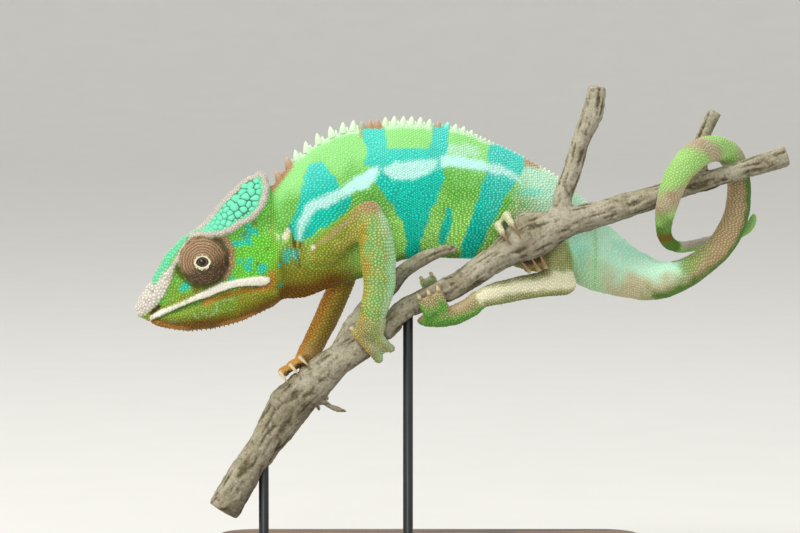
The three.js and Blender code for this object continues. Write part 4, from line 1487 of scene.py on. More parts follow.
    def _segments(self, part: Part) -> list[Array]:
        """Soft shares of a limb's upper leg, lower leg and foot."""
        nodes = [self.body.is_node(part.value + word).astype(float) for word in self.body.limb_ends]
        return [self.body.skin.spread(node, 10) * self.body.share[part] for node in nodes]

    def _limbs(self) -> None:
        """Arms and legs, each in its own colours."""
        lay = self._lay
        body, ripple, cloud, up, x, z = self.body, self.ripple, self.cloud, self.up, self.x, self.z
        upper, lower, foot = self._segments(Part.FRONT_LEFT)
        lay("olive", 0.85 * np.clip(1.5 * body.skin.spread(upper, 40), 0, 1))
        lay("gold", 0.6 * upper * ease(-0.6, 0.6, cloud + 0.5 * ripple))
        lay("tan", 0.55 * upper * ease(1.4, 0.3, np.abs((z - 103.5) - 0.75 * (x + 27)) + 0.7 * ripple))
        lay("low_green", 0.5 * upper * ease(-0.2, 0.6, cloud))
        front = ease(0.1, 0.95, -self.ahead + 0.3 * cloud)
        ends = lower + foot
        lay("jade", ends * (1 - 0.9 * front))
        lay("olive", lower * front)
        lay("gold", 0.5 * ends * ease(-0.5, 0.6, ripple + 0.5 * front))
        lay("orange", 0.4 * ends * front * ease(-0.3, 0.9, cloud + ripple * 0.5))
        lay("mint", 0.45 * ends * ease(0.1, 0.8, self.ahead + 0.3 * cloud))
        elbow = self._from((-18.0, 110.6), (6.0, 3.2))
        lay("rust", 0.8 * body.share[Part.FRONT_LEFT] * ease(1.35, 0.2, elbow + 0.2 * cloud))
        lay("tan", 0.6 * foot * ease(-0.5, 0.3, cloud))
        far = body.share[Part.FRONT_RIGHT]
        # Umber in place of orange on the far arm's side turned away from the light: painted shade.
        shade = ease(-0.35, 0.55, self.ahead + 0.15 * cloud)
        lay("orange", 0.95 * far * (1 - 0.7 * shade) * ease(104, 92, z))
        lay("umber", 0.8 * far * shade)
        lay("cream", 0.55 * far * ease(72, 66, z))
        for part in (Part.HIND_LEFT, Part.HIND_RIGHT):
            thigh, shin, sole = self._segments(part)
            lay("sage", 0.95 * (thigh + shin * ease(0.4, 0.9, shin)))
            lay("mint", 0.35 * thigh * ease(0.0, 0.7, cloud))
            lay("cream", 1.4 * shin * ease(0.9, 0.1, np.abs(up - 0.25) + 0.3 * cloud))
            lay("leaf", 0.5 * shin * ease(-0.6, -0.95, up))
            lay("leaf", 0.6 * sole * ease(-0.2, -0.8, up + 0.3 * cloud))
            lay("tan", 0.85 * sole * ease(-0.7, 0.1, up + 0.3 * cloud))
            lay("cream", 0.75 * sole * ease(0.1, 0.6, up + 0.2 * cloud))
        far_toes = body.is_node("hind_left_foot") * ease(0.5, 2.5, body.skin.points[:, 1])
        knob_foot = body.is_node("hind_right_foot") * ease(0.0, 1.0, body.share[Part.HIND_RIGHT])
        for hold in (far_toes, knob_foot * ease(95, 98, z)):
            self._lift(("leaf", "tan", "sage"), 0.8 * hold)
            lay("cream", 0.6 * hold)
        lay("sage", 0.6 * knob_foot * ease(95, 98, z))
        lay("umber", 0.6 * knob_foot * ease(97, 94, z))
        lay("jade", 0.7 * ease(3.0, 1.2, self._from((13.2, 82.6))) * body.share[Part.HIND_LEFT])

    def _head(self) -> None:
        """Cheek, jaw, nape and the spots of the head."""
        lay = self._lay
        body, x, z, ripple, cloud = self.body, self.x, self.z, self.ripple, self.cloud
        plate = body.plate
        head, trunk = body.share[Part.HEAD], body.share[Part.TRUNK]
        lay("cheek", 0.3 * body.skin.spread(head, 90) * (1 - self.onward))
        cheek = ease(1.8, -1.8, area_distance(plate, ANATOMY.cheek) + 1.2 * ripple - 0.2)
        lay("cheek", 0.95 * (head + trunk) * cheek)
        jaw = body.skin.spread(body.is_node("lower_jaw").astype(float), 4)
        lay("olive", 0.95 * jaw * (1 - self._area(ANATOMY.jaw_green)))
        floor = z - np.interp(x, *np.array(ANATOMY.jaw_line).T)
        lay("umber", jaw * ease(5.0, 1.0, floor + 0.9 * cloud))
        lay("orange", 0.6 * jaw * ease(0.9, 0.3, np.abs(floor - 0.8)) * ease(-0.3, 0.4, cloud))
        nape = ease(2.4, -2.6, area_distance(plate, ANATOMY.nape) + 1.5 * cloud)
        lay("olive", 0.9 * nape * (head + trunk))
        green = jaw * self._area(ANATOMY.jaw_green, 0.2)
        lay("olive", 0.65 * green)
        lay("mint", 0.3 * green * ease(0.2, 0.7, self.speck))
        spots = ease(0.45, 0.75, Mottle(21).at(body.near, 3.2) + 0.2 * ripple)
        lay("teal", 0.85 * spots * ease(-64, -58, x) * head * (1 - jaw) * ease(108, 103, z))
        for mark, strength, places in (
            ("teal", 0.85, ((-54.6, 103.5, 1.6), (-52.5, 102.6, 1.5), (-56.7, 101.4, 1.2), (-57, 93.3, 1.2),
                            (-54, 93.6, 1.0), (-50.4, 91.8, 1.5), (-59.4, 88.4, 1.1), (-73.5, 86.1, 1.7))),
            ("umber", 0.6, ((-52.5, 105.3, 1.3), (-51.6, 92.9, 1.0), (-55.4, 101.6, 1.6), (-48.6, 97, 1.2),
                            (-80.6, 82.6, 1.7), (-79.6, 85.4, 1.5), (-77.6, 89.6, 1.2), (-70.5, 85.4, 1.3))),
        ):
            for at_x, at_z, size in places:
                lay(mark, strength * head * ease(size, size - 1.1, self._from((at_x, at_z)) + ripple))
        above_lip, _ = line_distance(plate, ANATOMY.lip_top)
        lay("olive", 0.8 * head * ease(1.9, 0.7, above_lip + 0.5 * ripple) * (1 - jaw) * ease(-61, -64, x))
        self.ring = self._from(ANATOMY.eye_spot) + 0.35 * ripple
        rear = ease(-65, -62.5, x) * ease(87.5, 89, z)
        lay("rust", 0.9 * head * rear * ease(9.6, 8.8, self.ring))
        lay("umber", 0.55 * head * rear * ease(8.8, 7.6, self.ring))
        lay("olive", 0.8 * head * ease(9.2, 8.2, self.ring) * (1 - rear))
        dusk = ease(0.5, 0.9, Mottle(22).at(body.near, 4.0) + 0.3 * ripple)
        lay("olive", 0.8 * head * dusk * ease(-62, -56, x))
        lay("olive", 0.5 * head * ease(-66, -72, x) * ease(95, 89, z) * ease(-0.2, 0.5, cloud))

    def _face(self) -> None:
        """Plates of roof and casque, the pale crests and pad, nostril, folds and lips."""
        lay = self._lay
        body, x = self.body, self.x
        head = body.share[Part.HEAD]
        top = ease(0.55, 0.85, self.up) * ease(-66, -70, x)
        lay("plate", 0.8 * head * np.maximum(self._area(ANATOMY.roof, 0.4), top))
        lay("plate", head * self._area(ANATOMY.casque, 1.2, 0.2))
        # Painted shade in the gaps between the casque plates, on the skin only.
        lay("crack", head * self._area(ANATOMY.casque, 0.1, 0.1) * ease(-68, -57, x))
        crests = ((body.outline(-69.5, -52), 1.25), (ANATOMY.crest_rear, 0.9), (ANATOMY.crest_lateral, 0.85),
                  (ANATOMY.crest_brow, 0.75))
        pad = self._area(ANATOMY.pad, 0.2, 0.4)
        ridge = head * np.max([self._stroke(line, half, 0.35, 0.2) for line, half in crests] + [pad], axis=0)
        lay("ridge", 0.7 * head * self._stroke(body.outline(-84, -70), 0.5))
        lay("ridge", ridge)
        lay("lip", 0.3 * head * pad)
        self._lift(("teal", "olive", "cheek", "plate", "umber", "crack"), ridge)
        # Umber in the sunken nostril: painted shade.
        lay("umber", 0.75 * head * self._stroke(ANATOMY.nostril, 0.7, 0.6))
        lay("umber", 0.6 * head * self._stroke(((-81, 82), (-79, 86), (-78, 90)), 0.5, 0.5))
        fold = self._stroke(ANATOMY.eye_fold, 1.0, 0.6, 0.3)
        lay("rust", 0.9 * head * fold)
        self._lift(("teal",), fold)
        lay("orange", 0.85 * head * self._stroke(ANATOMY.mouth_corner, 0.7, 0.8, 0.5))
        front = ease(-68, -76, x)
        lips = area_distance(body.plate, ANATOMY.lip_top + ANATOMY.lip_low)
        pale = 1 - 0.35 * front * ease(-0.4, 0.6, self.speck)
        lay("lip", head * ease(0.25, -0.25, lips + 0.3 * front) * pale)

    def _turrets(self) -> None:
        """Copper eye turrets, dark below with mottles and painted shade, with a pale lid ring, and painted
        shade in the groove round each turret and inside the lid.
        """
        lay = self._lay
        body, near = self.body, self.body.near
        reach, aside = body.eye_offsets()
        turret = ease(8.3, 7.6, reach) * ease(7.4, 6.9, self.ring)
        self._lift(("teal", "cheek", "olive", "plate", "ridge", "umber", "orange", "lip", "rust"), turret)
        lay("copper", turret)
        slant = near[:, 2] - ANATOMY.eye_spot[1] - 0.45 * (near[:, 0] - ANATOMY.eye_spot[0])
        # Lower turret: dark mottles and painted shade together, darkest towards the bottom.
        under = ease(1.2, -3.2, slant + self.ripple)
        dots = np.random.default_rng(9).uniform(0, 1, len(near))
        lay("soot", turret * np.clip(0.84 * under + 0.25 * (dots - 0.5) - 0.6 * under * (dots > 0.8), 0, 1))
        # Painted shade in the groove round the turret's edge, strongest on its lower side.
        rim = ease(0.55, 0.2, np.abs(self.ring - 7.3)) * ease(2.0, -3.0, slant)
        lay("soot", 0.75 * body.share[Part.HEAD] * rim)
        lid = ease(0.42, 0.15, np.abs(aside - ANATOMY.lid_ring)) * (reach < ANATOMY.socket)
        self._lift(("soot", "copper"), lid)
        lay("cream", lid)
        # Painted shade on the sunken skin inside the lid ring.
        lay("soot", ease(1.75, 1.45, aside) * (reach < ANATOMY.socket))

    def _folds(self) -> None:
        """Painted shade down in the creases and along the seam of the lower lip."""
        body = self.body
        points = body.skin.points
        hollow = np.stack([body.skin.spread(points[:, axis], 24) for axis in range(3)], axis=1) - points
        fold = ease(0.05, 0.3, np.einsum("ij,ij->i", hollow, self.normal))
        fold = fold * (1 - 0.8 * ease(3.5, 1.5, np.abs(self.x - ANATOMY.neck_x)))
        seam, _ = line_distance(body.plate, ANATOMY.lip_low)
        self._lay("fold", np.maximum(fold, 0.9 * ease(0.5, 0.2, seam) * body.share[Part.HEAD]))


# ---- scales

@dataclass
class Crop:
    """Scales that are made together: where they stand and how they are shaped."""

    roots: Array
    radii: Array
    flat: Array
    index: Array
    normals: Array
    chance: Array

    def pick(self, own: Array) -> "Crop":
        """Some of the scales."""
        return Crop(*(getattr(self, item.name)[own] for item in fields(self)))


@dataclass
class Scales:
    """Solid scales over the skin: rows round trunk, tail and limbs, casque plates, granules between."""

    body: Body
    marks: Marks
    finish: Material
    sides: int = 6
    most: int = 10500
    trunk_pitch: float = 0.72
    limb_pitch: float = 0.74
    turret_pitch: float = 0.44
    turret_dome: float = 6.7
    row_step: float = 0.87
    ring_step: float = 0.9
    tail_radii: tuple[tuple[float, ...], ...] = ((0, 14, 25), (0.35, 0.32, 0.25))
    tubercles: int = 700
    tubercle_growth: float = 1.35
    overlap: float = 0.95
    neighbours: int = 11
    plate_sides: int = 12
    gap: float = 0.93
    height: float = 0.42
    patch: float = 0.0014
    seed: int = 71

    def build(self) -> list[Thing]:
        """Makes the coat's pieces."""
        self.random = np.random.default_rng(self.seed)
        self.tree = self.body.skin.tree()
        self.finder = point_finder(self.body.skin.points)
        self._sizes()
        self.every = self._thin(*self._candidates())
        self.standing = point_finder(self.every.roots)
        return self._pieces()

    def _sizes(self) -> None:
        """Radius of the scales at every skin point, how tall they stand and how flat their tops are."""
        body, marks, plate = self.body, self.marks, self.body.plate
        patchy = Mottle(31).at(body.near, 3.0)
        tail, head = body.of_part(Part.TAIL), body.of_part(Part.HEAD)
        arms = body.of_part(Part.FRONT_LEFT) | body.of_part(Part.FRONT_RIGHT)
        legs = body.of_part(Part.HIND_LEFT) | body.of_part(Part.HIND_RIGHT)
        roof, ridge, lip = head & (marks["plate"] > 0.5), head & (marks["ridge"] > 0.5), marks["lip"] > 0.5
        pad = head & (area_distance(plate, ANATOMY.pad) < 0.4)
        inner = ease(0.1, -0.4, area_distance(plate, ANATOMY.casque)) > 0.5
        casque = head & inner & (marks["ridge"] < 0.3)
        self.radius = layered(
            np.full(len(plate), self.trunk_pitch / 2),
            (tail, np.interp(body.along, *self.tail_radii)), (arms, 0.38), (legs, 0.33),
            (body.is_node("_foot"), 0.28), (head, 0.33 + 0.06 * patchy), (roof, 0.45),
            (ridge, 0.31 + 0.04 * patchy), (pad, 0.42 + 0.16 * patchy),
            (casque, 0.56 + 0.44 * ease(-67, -57, plate[:, 0]) + 0.3 * patchy), (lip, 0.3),
            (marks["copper"] > 0.5, self.turret_pitch / 2))
        self.flatness = layered(np.zeros(len(plate)), (roof, 0.6), (casque, 1.0))
        pale = marks["cream"] > 0.5
        self.tall = layered(np.ones(len(plate)), (pad, 1.2), (casque, 0.42), (lip, 0.45), (pale, 0.55))

    def _cast(self, starts: Array, ways: Array, reach: float) -> Array:
        """Places where rays meet the skin.

        Args:
            starts: where each ray starts.
            ways: its direction.
            reach: its longest length.

        Returns:
            The places that were hit.
        """
        hits = []
        for start, way in zip(starts.tolist(), ways.tolist()):
            place, _, _, _ = self.tree.ray_cast(start, way, reach)
            if place is not None:
                hits.append(tuple(place))
        return np.array(hits).reshape(-1, 3)

    def _trunk_rows(self) -> Array:
        """Rows that follow the back, on both flanks."""
        body = self.body
        pitch = self.trunk_pitch
        starts, ways = [], []
        for number, x in enumerate(np.arange(body.back_x.min(), body.back_x.max(), pitch * self.row_step)):
            levels = (body.back, body.belly, body.middle_y)
            top, low, middle = (np.interp(x, body.back_x, level) for level in levels)
            heights = np.arange(top - 0.4 - pitch * (number % 2) / 2, low, -pitch)
            for side in (-1, 1):
                starts += [(x, middle, z) for z in heights]
                ways += [(0, side, 0)] * len(heights)
        return self._cast(np.array(starts), np.array(ways, float), 14)

    def _rings(self, axis: Axis, pitch: float, radius: float, reach: float) -> Array:
        """Rings of places round a long part.

        Args:
            axis: its middle line.
            pitch: spacing of rings and of the places in them.
            radius: about how thick the part is.
            reach: the furthest that a place may be from the line.

        Returns:
            The places.
        """
        steps = np.concatenate([[0], np.cumsum(norm(np.diff(axis.points, axis=0), axis=1))])
        spots = np.arange(pitch / 2, steps[-1], pitch * self.ring_step)
        centres, tangents = (
            np.stack([np.interp(spots, steps, column) for column in rows.T], axis=1)
            for rows in (axis.points, axis.tangents())
        )
        count = max(6, int(2 * math.pi * radius / pitch))
        ways = []
        for number, tangent in enumerate(unit(tangents)):
            side = unit(np.cross(tangent, LEVEL))
            ways.append(wheel(count, side, np.cross(tangent, side), 0.5 * (number % 2)))
        return self._cast(np.repeat(centres, count, axis=0), np.concatenate(ways), reach)

    def _tail_rings(self) -> Array:
        """Rings along the tail, in lengths of like thickness."""
        found = []
        for first in range(0, len(ANATOMY.tail) - 1, 3):
            part = ANATOMY.tail[first:first + 4]
            radius = sum(row[3] for row in part) / len(part)
            pitch = 2 * np.interp(first, *self.tail_radii)
            found.append(self._rings(Axis.through(part), pitch, radius, radius * 1.7))
        return np.concatenate(found)

    def _turret_rings(self) -> Array:
        """Rings round both eye turrets."""
        starts, ways = [], []
        for side in (-1, 1):
            centre, gaze = eye_frame(side)
            across = unit(np.cross(gaze, [0, 0, 1]))
            for tilt in np.arange(0.4, 1.5, self.ring_step * self.turret_pitch / self.turret_dome):
                count = int(2 * math.pi * self.turret_dome * math.sin(tilt) / self.turret_pitch)
                round_gaze = wheel(count, across, np.cross(gaze, across))
                starts += [centre] * count
                ways.append(math.cos(tilt) * gaze + math.sin(tilt) * round_gaze)
        return self._cast(np.array(starts), np.concatenate(ways), 9)

    def _candidates(self) -> tuple[Array, Array]:
        """Places for scales in order of claim: plates and tubercles, then rows, then every skin point."""
        body = self.body
        points = body.skin.points
        order = self.random.permutation(len(points))
        big = order[self.flatness[order] > 0.9]
        tubercles = order[body.of_part(Part.TRUNK)[order]][:self.tubercles]
        limbs = [axis for name, axis in body.axes.items() if not name.endswith("_foot")]
        rings = [self._rings(axis, self.limb_pitch, 4.2, 7.0) for axis in limbs]
        rows = np.concatenate([self._turret_rings(), self._trunk_rows(), self._tail_rings(), *rings])
        rows = rows + self.random.normal(0, 0.02, rows.shape)
        LOG.info("scale rows: %d places", len(rows))
        jitter = self.random.normal(0, 0.05, (len(order), 3))
        places = np.concatenate([points[big], points[tubercles], rows, points[order] + jitter])
        grown = np.ones(len(places))
        grown[len(big):len(big) + len(tubercles)] = self.tubercle_growth
        return places, grown

    def _thin(self, places: Array, grown: Array) -> Crop:
        """Keeps places that are far enough from those that come before them.

        Args:
            places: all candidates in order of claim.
            grown: factor on the radius at each.

        Returns:
            The scales that stand.
        """
        index = np.array([self.finder.find(place)[1] for place in places.tolist()])
        radii = self.radius[index] * grown
        bare = (self.marks["soot"][index] > 0.9) & (self.marks["copper"][index] < 0.05)
        tree = point_finder(places)
        dead, sizes, kept = bare.tolist(), radii.tolist(), []
        for number, place in enumerate(places.tolist()):
            if dead[number]:
                continue
            kept.append(number)
            own = sizes[number]
            for _, other, distance in tree.find_range(place, self.overlap * (own + min(1.3, own + 0.12))):
                if other > number and distance < self.overlap * (own + min(sizes[other], own + 0.12)):
                    dead[other] = True
        kept = np.array(kept)
        own = index[kept]
        chance = self.random.uniform(0, 1, len(kept))
        return Crop(places[kept], radii[kept], self.flatness[own], own, self.body.normals[own], chance)

    def _cells(self, crop: Crop, sides: int) -> tuple[Array, Array]:
        """Outline of every scale, shared out between it and its neighbours.

        Args:
            crop: the scales.
            sides: corners of each.

        Returns:
            Directions to the corners and the distances along them.
        """
        found = [self.standing.find_n(place, self.neighbours + 1)[1:] for place in crop.roots.tolist()]
        near = np.array([[spot[1] for spot in spots] for spots in found])
        side = unit(np.cross(crop.normals, [0.31, 0.9, 0.3]))
        other = np.cross(crop.normals, side)
        turn = 2 * math.pi * (crop.chance[:, None] + np.arange(sides) / sides)
        ways = np.cos(turn)[:, :, None] * side[:, None] + np.sin(turn)[:, :, None] * other[:, None]
        offset = self.every.roots[near] - crop.roots[:, None]
        squared = (offset ** 2).sum(2) + crop.radii[:, None] ** 2 - self.every.radii[near] ** 2
        facing = np.einsum("nmk,njk->nmj", ways, offset)
        reach = np.where(facing > 0.05, squared[:, None] / (2 * np.maximum(facing, 0.05)), 1e9).min(2)
        level = (crop.flat > 0.9)[:, None]
        widest = np.where(level, 2.2, 1.45) * crop.radii[:, None]
        return ways, np.clip(reach, 0.3 * crop.radii[:, None], widest) * self.gap

    def _pieces(self) -> list[Thing]:
        """Joined meshes of scales, each within the size that the export keeps."""
        body, crop = self.body, self.every
        parts = list(Part)
        middle = np.interp(crop.roots[:, 0], body.back_x, body.middle_y)
        side = np.where(crop.roots[:, 1] < middle, 0, 1)
        pieces = []
        for number, part in enumerate(parts):
            member = body.part[crop.index] == number
            group = np.where(crop.flat > 0.9, 2, 0 if part not in (Part.HEAD, Part.TRUNK) else side)
            for which in np.unique(group[member]):
                own = np.flatnonzero(member & (group == which))
                own = own[np.argsort(body.along[crop.index[own]])]
                sides = self.plate_sides if which == 2 else self.sides
                for batch, chosen in enumerate(np.array_split(own, math.ceil(len(own) / self.most))):
                    name = f"scales_{part.value}_{which}{batch}"
                    pieces.append(self._mesh(name, crop.pick(chosen), sides))
        return pieces

    def _mesh(self, name: str, crop: Crop, sides: int) -> Thing:
        """One joined mesh of scales.

        Args:
            name: name of the piece.
            crop: its scales.
            sides: corners of each.

        Returns:
            The piece.
        """
        ways, reach = self._cells(crop, sides)
        rise = self.height * np.minimum(crop.radii, reach.mean(1) * 1.1) * self.tall[crop.index]
        root, up, far = crop.roots[:, None], crop.normals[:, None], reach[..., None]
        tall, level = (rise * (0.85 + 0.3 * crop.chance))[:, None, None], crop.flat[:, None, None]
        shoulder = 0.62 + 0.24 * level
        top = root + up * tall
        ring = root + ways * far * shoulder + up * tall * (0.8 + 0.15 * level)
        rim = root + ways * far - up * 0.1
        points = np.concatenate([top, ring, rim], axis=1).reshape(-1, 3)
        size = 1 + 2 * sides
        faces = []
        for j in range(sides):
            k = (j + 1) % sides
            faces += [(0, 1 + j, 1 + k), (1 + j, 1 + sides + j, 1 + sides + k), (1 + j, 1 + sides + k, 1 + k)]
        count = len(crop.roots)
        faces = (np.array(faces)[None] + size * np.arange(count)[:, None, None]).reshape(-1, 3)
        marks = {mark: np.repeat(values[crop.index], size) for mark, values in self.marks.items()
                 if values[crop.index].max() > 0.01}
        # rise: 1 at the top, 0 at the rim; the finish darkens low rise as painted shade at each scale's foot.
        marks["rise"] = np.tile(np.concatenate([[1.0], np.full(sides, 0.85), np.zeros(sides)]), count)
        marks["chance"] = np.repeat(crop.chance, size)
        piece = make_object(name, points, faces, marks, self.finish)
        self._unwrap(piece, crop, sides)
        LOG.info("%s: %d scales, %d triangles", name, count, len(faces))
        return piece

    def _unwrap(self, piece: Thing, crop: Crop, sides: int) -> None:
        """Lays each scale as a small patch at its root on the part's own unwrap, by length and turn.

        Args:
            piece: the mesh.
            crop: its scales.
            sides: corners of each.
        """
        along, turn = self.body.along[crop.index], self.body.turn[crop.index]
        span = max(np.ptp(along), 1e-6)
        node = self.body.node[crop.index]
        bands = np.unique(node)
        lane = np.searchsorted(bands, node)
        across = (turn / (2 * math.pi) + 0.5 + lane) / len(bands)
        middle = np.stack([0.01 + 0.98 * (along - along.min()) / span, 0.01 + 0.98 * across], axis=1)
        angle = 2 * math.pi * np.arange(sides) / sides
        circle = self.patch * np.stack([np.cos(angle), np.sin(angle)], axis=1)
        local = np.concatenate([[[0, 0]], 0.7 * circle, circle])
        spots = (middle[:, None] + local[None]).reshape(-1, 2)
        layer = piece.data.uv_layers.new(name="OFBake")
        corners = np.empty(len(piece.data.loops), np.int32)
        piece.data.loops.foreach_get("vertex_index", corners)
        layer.data.foreach_set("uv", spots[corners].astype(np.float32).ravel())


@dataclass
class Crest:
    """Row of soft spines along the neck and back, and small ones under the jaw."""

    body: Body
    marks: Marks
    finish: Material
    sides: int = 9
    rings: int = 5

    def build(self) -> Thing:
        """Makes all spines as one joined mesh."""
        spines = []
        body = self.body
        self.tree = body.skin.tree()
        self.finder = point_finder(body.skin.points)
        for x, height in ANATOMY.spines:
            spines += [(x, height, 0.9 + 0.2 * height), (x + 1.2, 0.45 * height, 0.8)]
        spines += [(x, 0.75, 0.7) for x in np.arange(14.0, 44, 1.3)]
        meshes, roots = [], []
        for x, height, radius in spines:
            middle, top = (np.interp(x, body.back_x, level) for level in (body.middle_y, body.back))
            foot = self._meet((x, middle, top + 6), -1, top)
            lean = body.normals[self.finder.find(foot)[1]] * np.array([0.8, 0, 0.8]) + np.array([0, 0, 0.5])
            meshes.append(self._spine(foot, height, radius, lean))
            roots.append(foot)
        slope = math.tan(math.radians(ANATOMY.head_yaw_degrees))
        for x in np.arange(-79.5, -47, 1.35):
            foot = self._meet((x, ANATOMY.head_pivot[1] + (x - ANATOMY.head_pivot[0]) * slope, 60), 1, 75)
            size = 0.45 + 0.25 * math.sin(math.pi * (x + 80) / 34)
            meshes.append(self._spine(foot, size, 0.34, np.array([0.15, 0, -1.0])))
            roots.append(foot)
        points, faces, _ = stacked(meshes)
        index = np.array([self.finder.find(root)[1] for root in roots])
        size = 1 + self.sides * self.rings
        marks = {mark: np.repeat(values[index], size) for mark, values in self.marks.items()}
        # rise darkens each spine towards its foot: painted shade.
        level = np.concatenate([np.repeat(np.linspace(0.1, 0.9, self.rings), self.sides), [1.0]])
        marks["rise"] = np.tile(level, len(roots))
        white = np.repeat(np.arange(len(roots)) < len(spines), size) * (1 - 0.5 * marks["rust"])
        marks["lip"] = 0.35 * white * marks["rise"]
        marks["chance"] = np.repeat(np.random.default_rng(5).uniform(0, 1, len(roots)), size)
        return make_object("crest_spines", points, faces, marks, self.finish)

    def _meet(self, start: Triple, way: int, otherwise: float) -> Array:
        """Place on the skin straight above or below another.

        Args:
            start: the other place.
            way: 1 for above, -1 for below.
            otherwise: height to use where the skin isn't met.

        Returns:
            The place.
        """
        place, _, _, _ = self.tree.ray_cast(start, (0, 0, way), 40)
        return np.array(place if place is not None else (*start[:2], otherwise))

    def _spine(self, foot: Array, height: float, radius: float, way: Array) -> Mesh:
        """One curved cone.

        Args:
            foot: its place on the skin.
            height: how far it stands out.
            radius: half its length along the row.
            way: the direction that it leans.

        Returns:
            Points and triangles.
        """
        way = unit(way)
        along = unit(np.cross(np.cross(way, [1.0, 0, 0]), way))
        share = (np.arange(self.rings) / self.rings)[:, None, None]
        centres = foot + way * (height * share - 0.4 * (1 - share)) + along * 0.08 * height * share ** 2
        rings = centres + radius * (1 - share) ** 0.68 * wheel(self.sides, along, 0.72 * np.cross(way, along))
        return lofted(rings, None, foot + way * height + along * 0.08 * height)


# ---- eyes and claws

@dataclass
class Eye:
    """One eyeball and the smooth rim of its lid."""

    side: int
    radius: float = 5.75
    around: int = 64
    rings: int = 28
    cornea: float = 0.1
    beads: int = 96
    section: int = 14
    rim_height: float = 6.72
    rim_thick: float = 0.26

    def build(self, eye_finish: Material, hide: Material) -> list[Thing]:
        """Makes the eyeball and the lid rim.

        Args:
            eye_finish: material of the eyeball.
            hide: material of the lid.

        Returns:
            Both pieces.
        """
        word = "left" if self.side < 0 else "right"
        centre, gaze = eye_frame(self.side)
        across = unit(np.cross(gaze, [0, 0, 1]))
        upward = np.cross(across, gaze)
        tilts = 0.5 * math.pi * (np.arange(1, self.rings + 1) / self.rings) ** 1.4
        bulge = self.radius + self.cornea * bell(tilts, 0.18)
        tilt = tilts[:, None, None]
        ways = np.cos(tilt) * gaze + np.sin(tilt) * wheel(self.around, across, upward)
        front = centre + gaze * (self.radius + self.cornea)
        points, faces = lofted(centre + ways * bulge[:, None, None], front, centre - gaze * 1.5)
        angles = np.concatenate([np.repeat(tilts, self.around), [0.0, math.pi]])
        ball = make_object(f"eye_{word}", points, faces, {"gaze": angles}, eye_finish)
        return [ball, self._rim(word, centre, (gaze, across, upward), hide)]

    def _rim(self, word: str, centre: Array, axes: Sequence[Array], hide: Material) -> Thing:
        """Thickened, softly beaded edge of the lid.

        Args:
            word: left or right.
            centre: middle of the eyeball.
            axes: where it looks, the sideways direction and the upward one.
            hide: material.

        Returns:
            The piece.
        """
        gaze, across, upward = axes
        turn = 2 * math.pi * np.arange(self.beads)[:, None, None] / self.beads
        slant = turn + math.radians(-8)
        way = (1 + 0.14 * np.abs(np.cos(turn)) ** 5) * np.cos(slant) * across + 0.88 * np.sin(slant) * upward
        thick = self.rim_thick * (1 + 0.1 * np.cos(16 * turn) - 0.18 * np.sin(turn))
        bend = 2 * math.pi * np.arange(self.section)[None, :, None] / self.section
        rings = centre + way * (ANATOMY.lid_ring + thick * np.cos(bend))
        rings = rings + gaze * (self.rim_height + thick * np.sin(bend) - 0.22)
        points, faces = lofted(rings, looped=True)
        count = len(points)
        levels = {"cream": 0.95, "ridge": 0.4, "even": 0.4, "chance": 0.5}
        marks = {mark: np.full(count, level) for mark, level in levels.items()}
        # rise lights the rim's outer side and darkens the side that faces back into the socket: painted shade.
        marks["rise"] = np.tile(0.75 + 0.25 * np.sin(bend.ravel()), self.beads)
        return make_object(f"eyelid_rim_{word}", points, faces, marks, hide)


@dataclass
class Claws:
    """Curved claws, each grown from its frame node."""

    around: int = 12
    rings: int = 12

    def build(self, frame: Frame, finish: Material) -> list[Thing]:
        """Makes one piece for each claw node.

        Args:
            finish: horn material.

        Returns:
            The claws.
        """
        feet: dict[str, Array] = {}
        claws = []
        for name in sorted(frame["nodes"]):
            if "_claw_" not in name:
                continue
            foot = name.split("_claw_")[0] + "_foot"
            if foot not in feet:
                feet[foot] = node_mesh(frame["nodes"][foot])[0]
            points, _ = node_mesh(frame["nodes"][name])
            claw = self._claw(name, points, feet[foot], finish)
            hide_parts(name)
            claws.append(claw)
        return claws

    def _claw(self, name: str, points: Array, foot: Array, finish: Material) -> Thing:
        """One claw along the line of its node.

        Args:
            name: the node's name.
            points: the node's corners.
            foot: corners of the foot that carries it.
            finish: horn material.

        Returns:
            The claw.
        """
        centre = points.mean(0)
        _, _, directions = np.linalg.svd(points - centre, full_matrices=False)
        along = (points - centre) @ directions[0]
        low, high = points[along <= along.min() + 0.5].mean(0), points[along >= along.max() - 0.5].mean(0)
        gap_low = norm(foot - low, axis=1).min()
        gap_high = norm(foot - high, axis=1).min()
        root, tip = (low, high) if gap_low < gap_high else (high, low)
        middle = points[np.abs(along - (along.min() + along.max()) / 2) < 0.9]
        belly = middle.mean(0) if len(middle) else centre
        way = unit(tip - root)
        root = root - way * 0.7
        side = unit(np.cross(way, [0.2, 0.3, 0.9]))
        share = (np.arange(self.rings) / self.rings)[:, None, None]
        bent = 2 * belly - (root + tip) / 2
        centres = (1 - share) ** 2 * root + 2 * share * (1 - share) * bent + share ** 2 * tip
        width = 0.6 * (1 - share ** 1.5) + 0.08
        rings = centres + width * wheel(self.around, side, 0.85 * np.cross(way, side))
        points, faces = lofted(rings, root, tip)
        reach = np.concatenate([np.repeat(share, self.around), [0.0, 1.0]])
        # Hind right claws, held under the branch, drawn darker: painted shade.
        dark = 0.65 * name.startswith("hind_right")
        return make_object(name + "_horn", points, faces, {"reach": np.clip(reach + dark, 0, 1)}, finish)


# ---- perch and stand

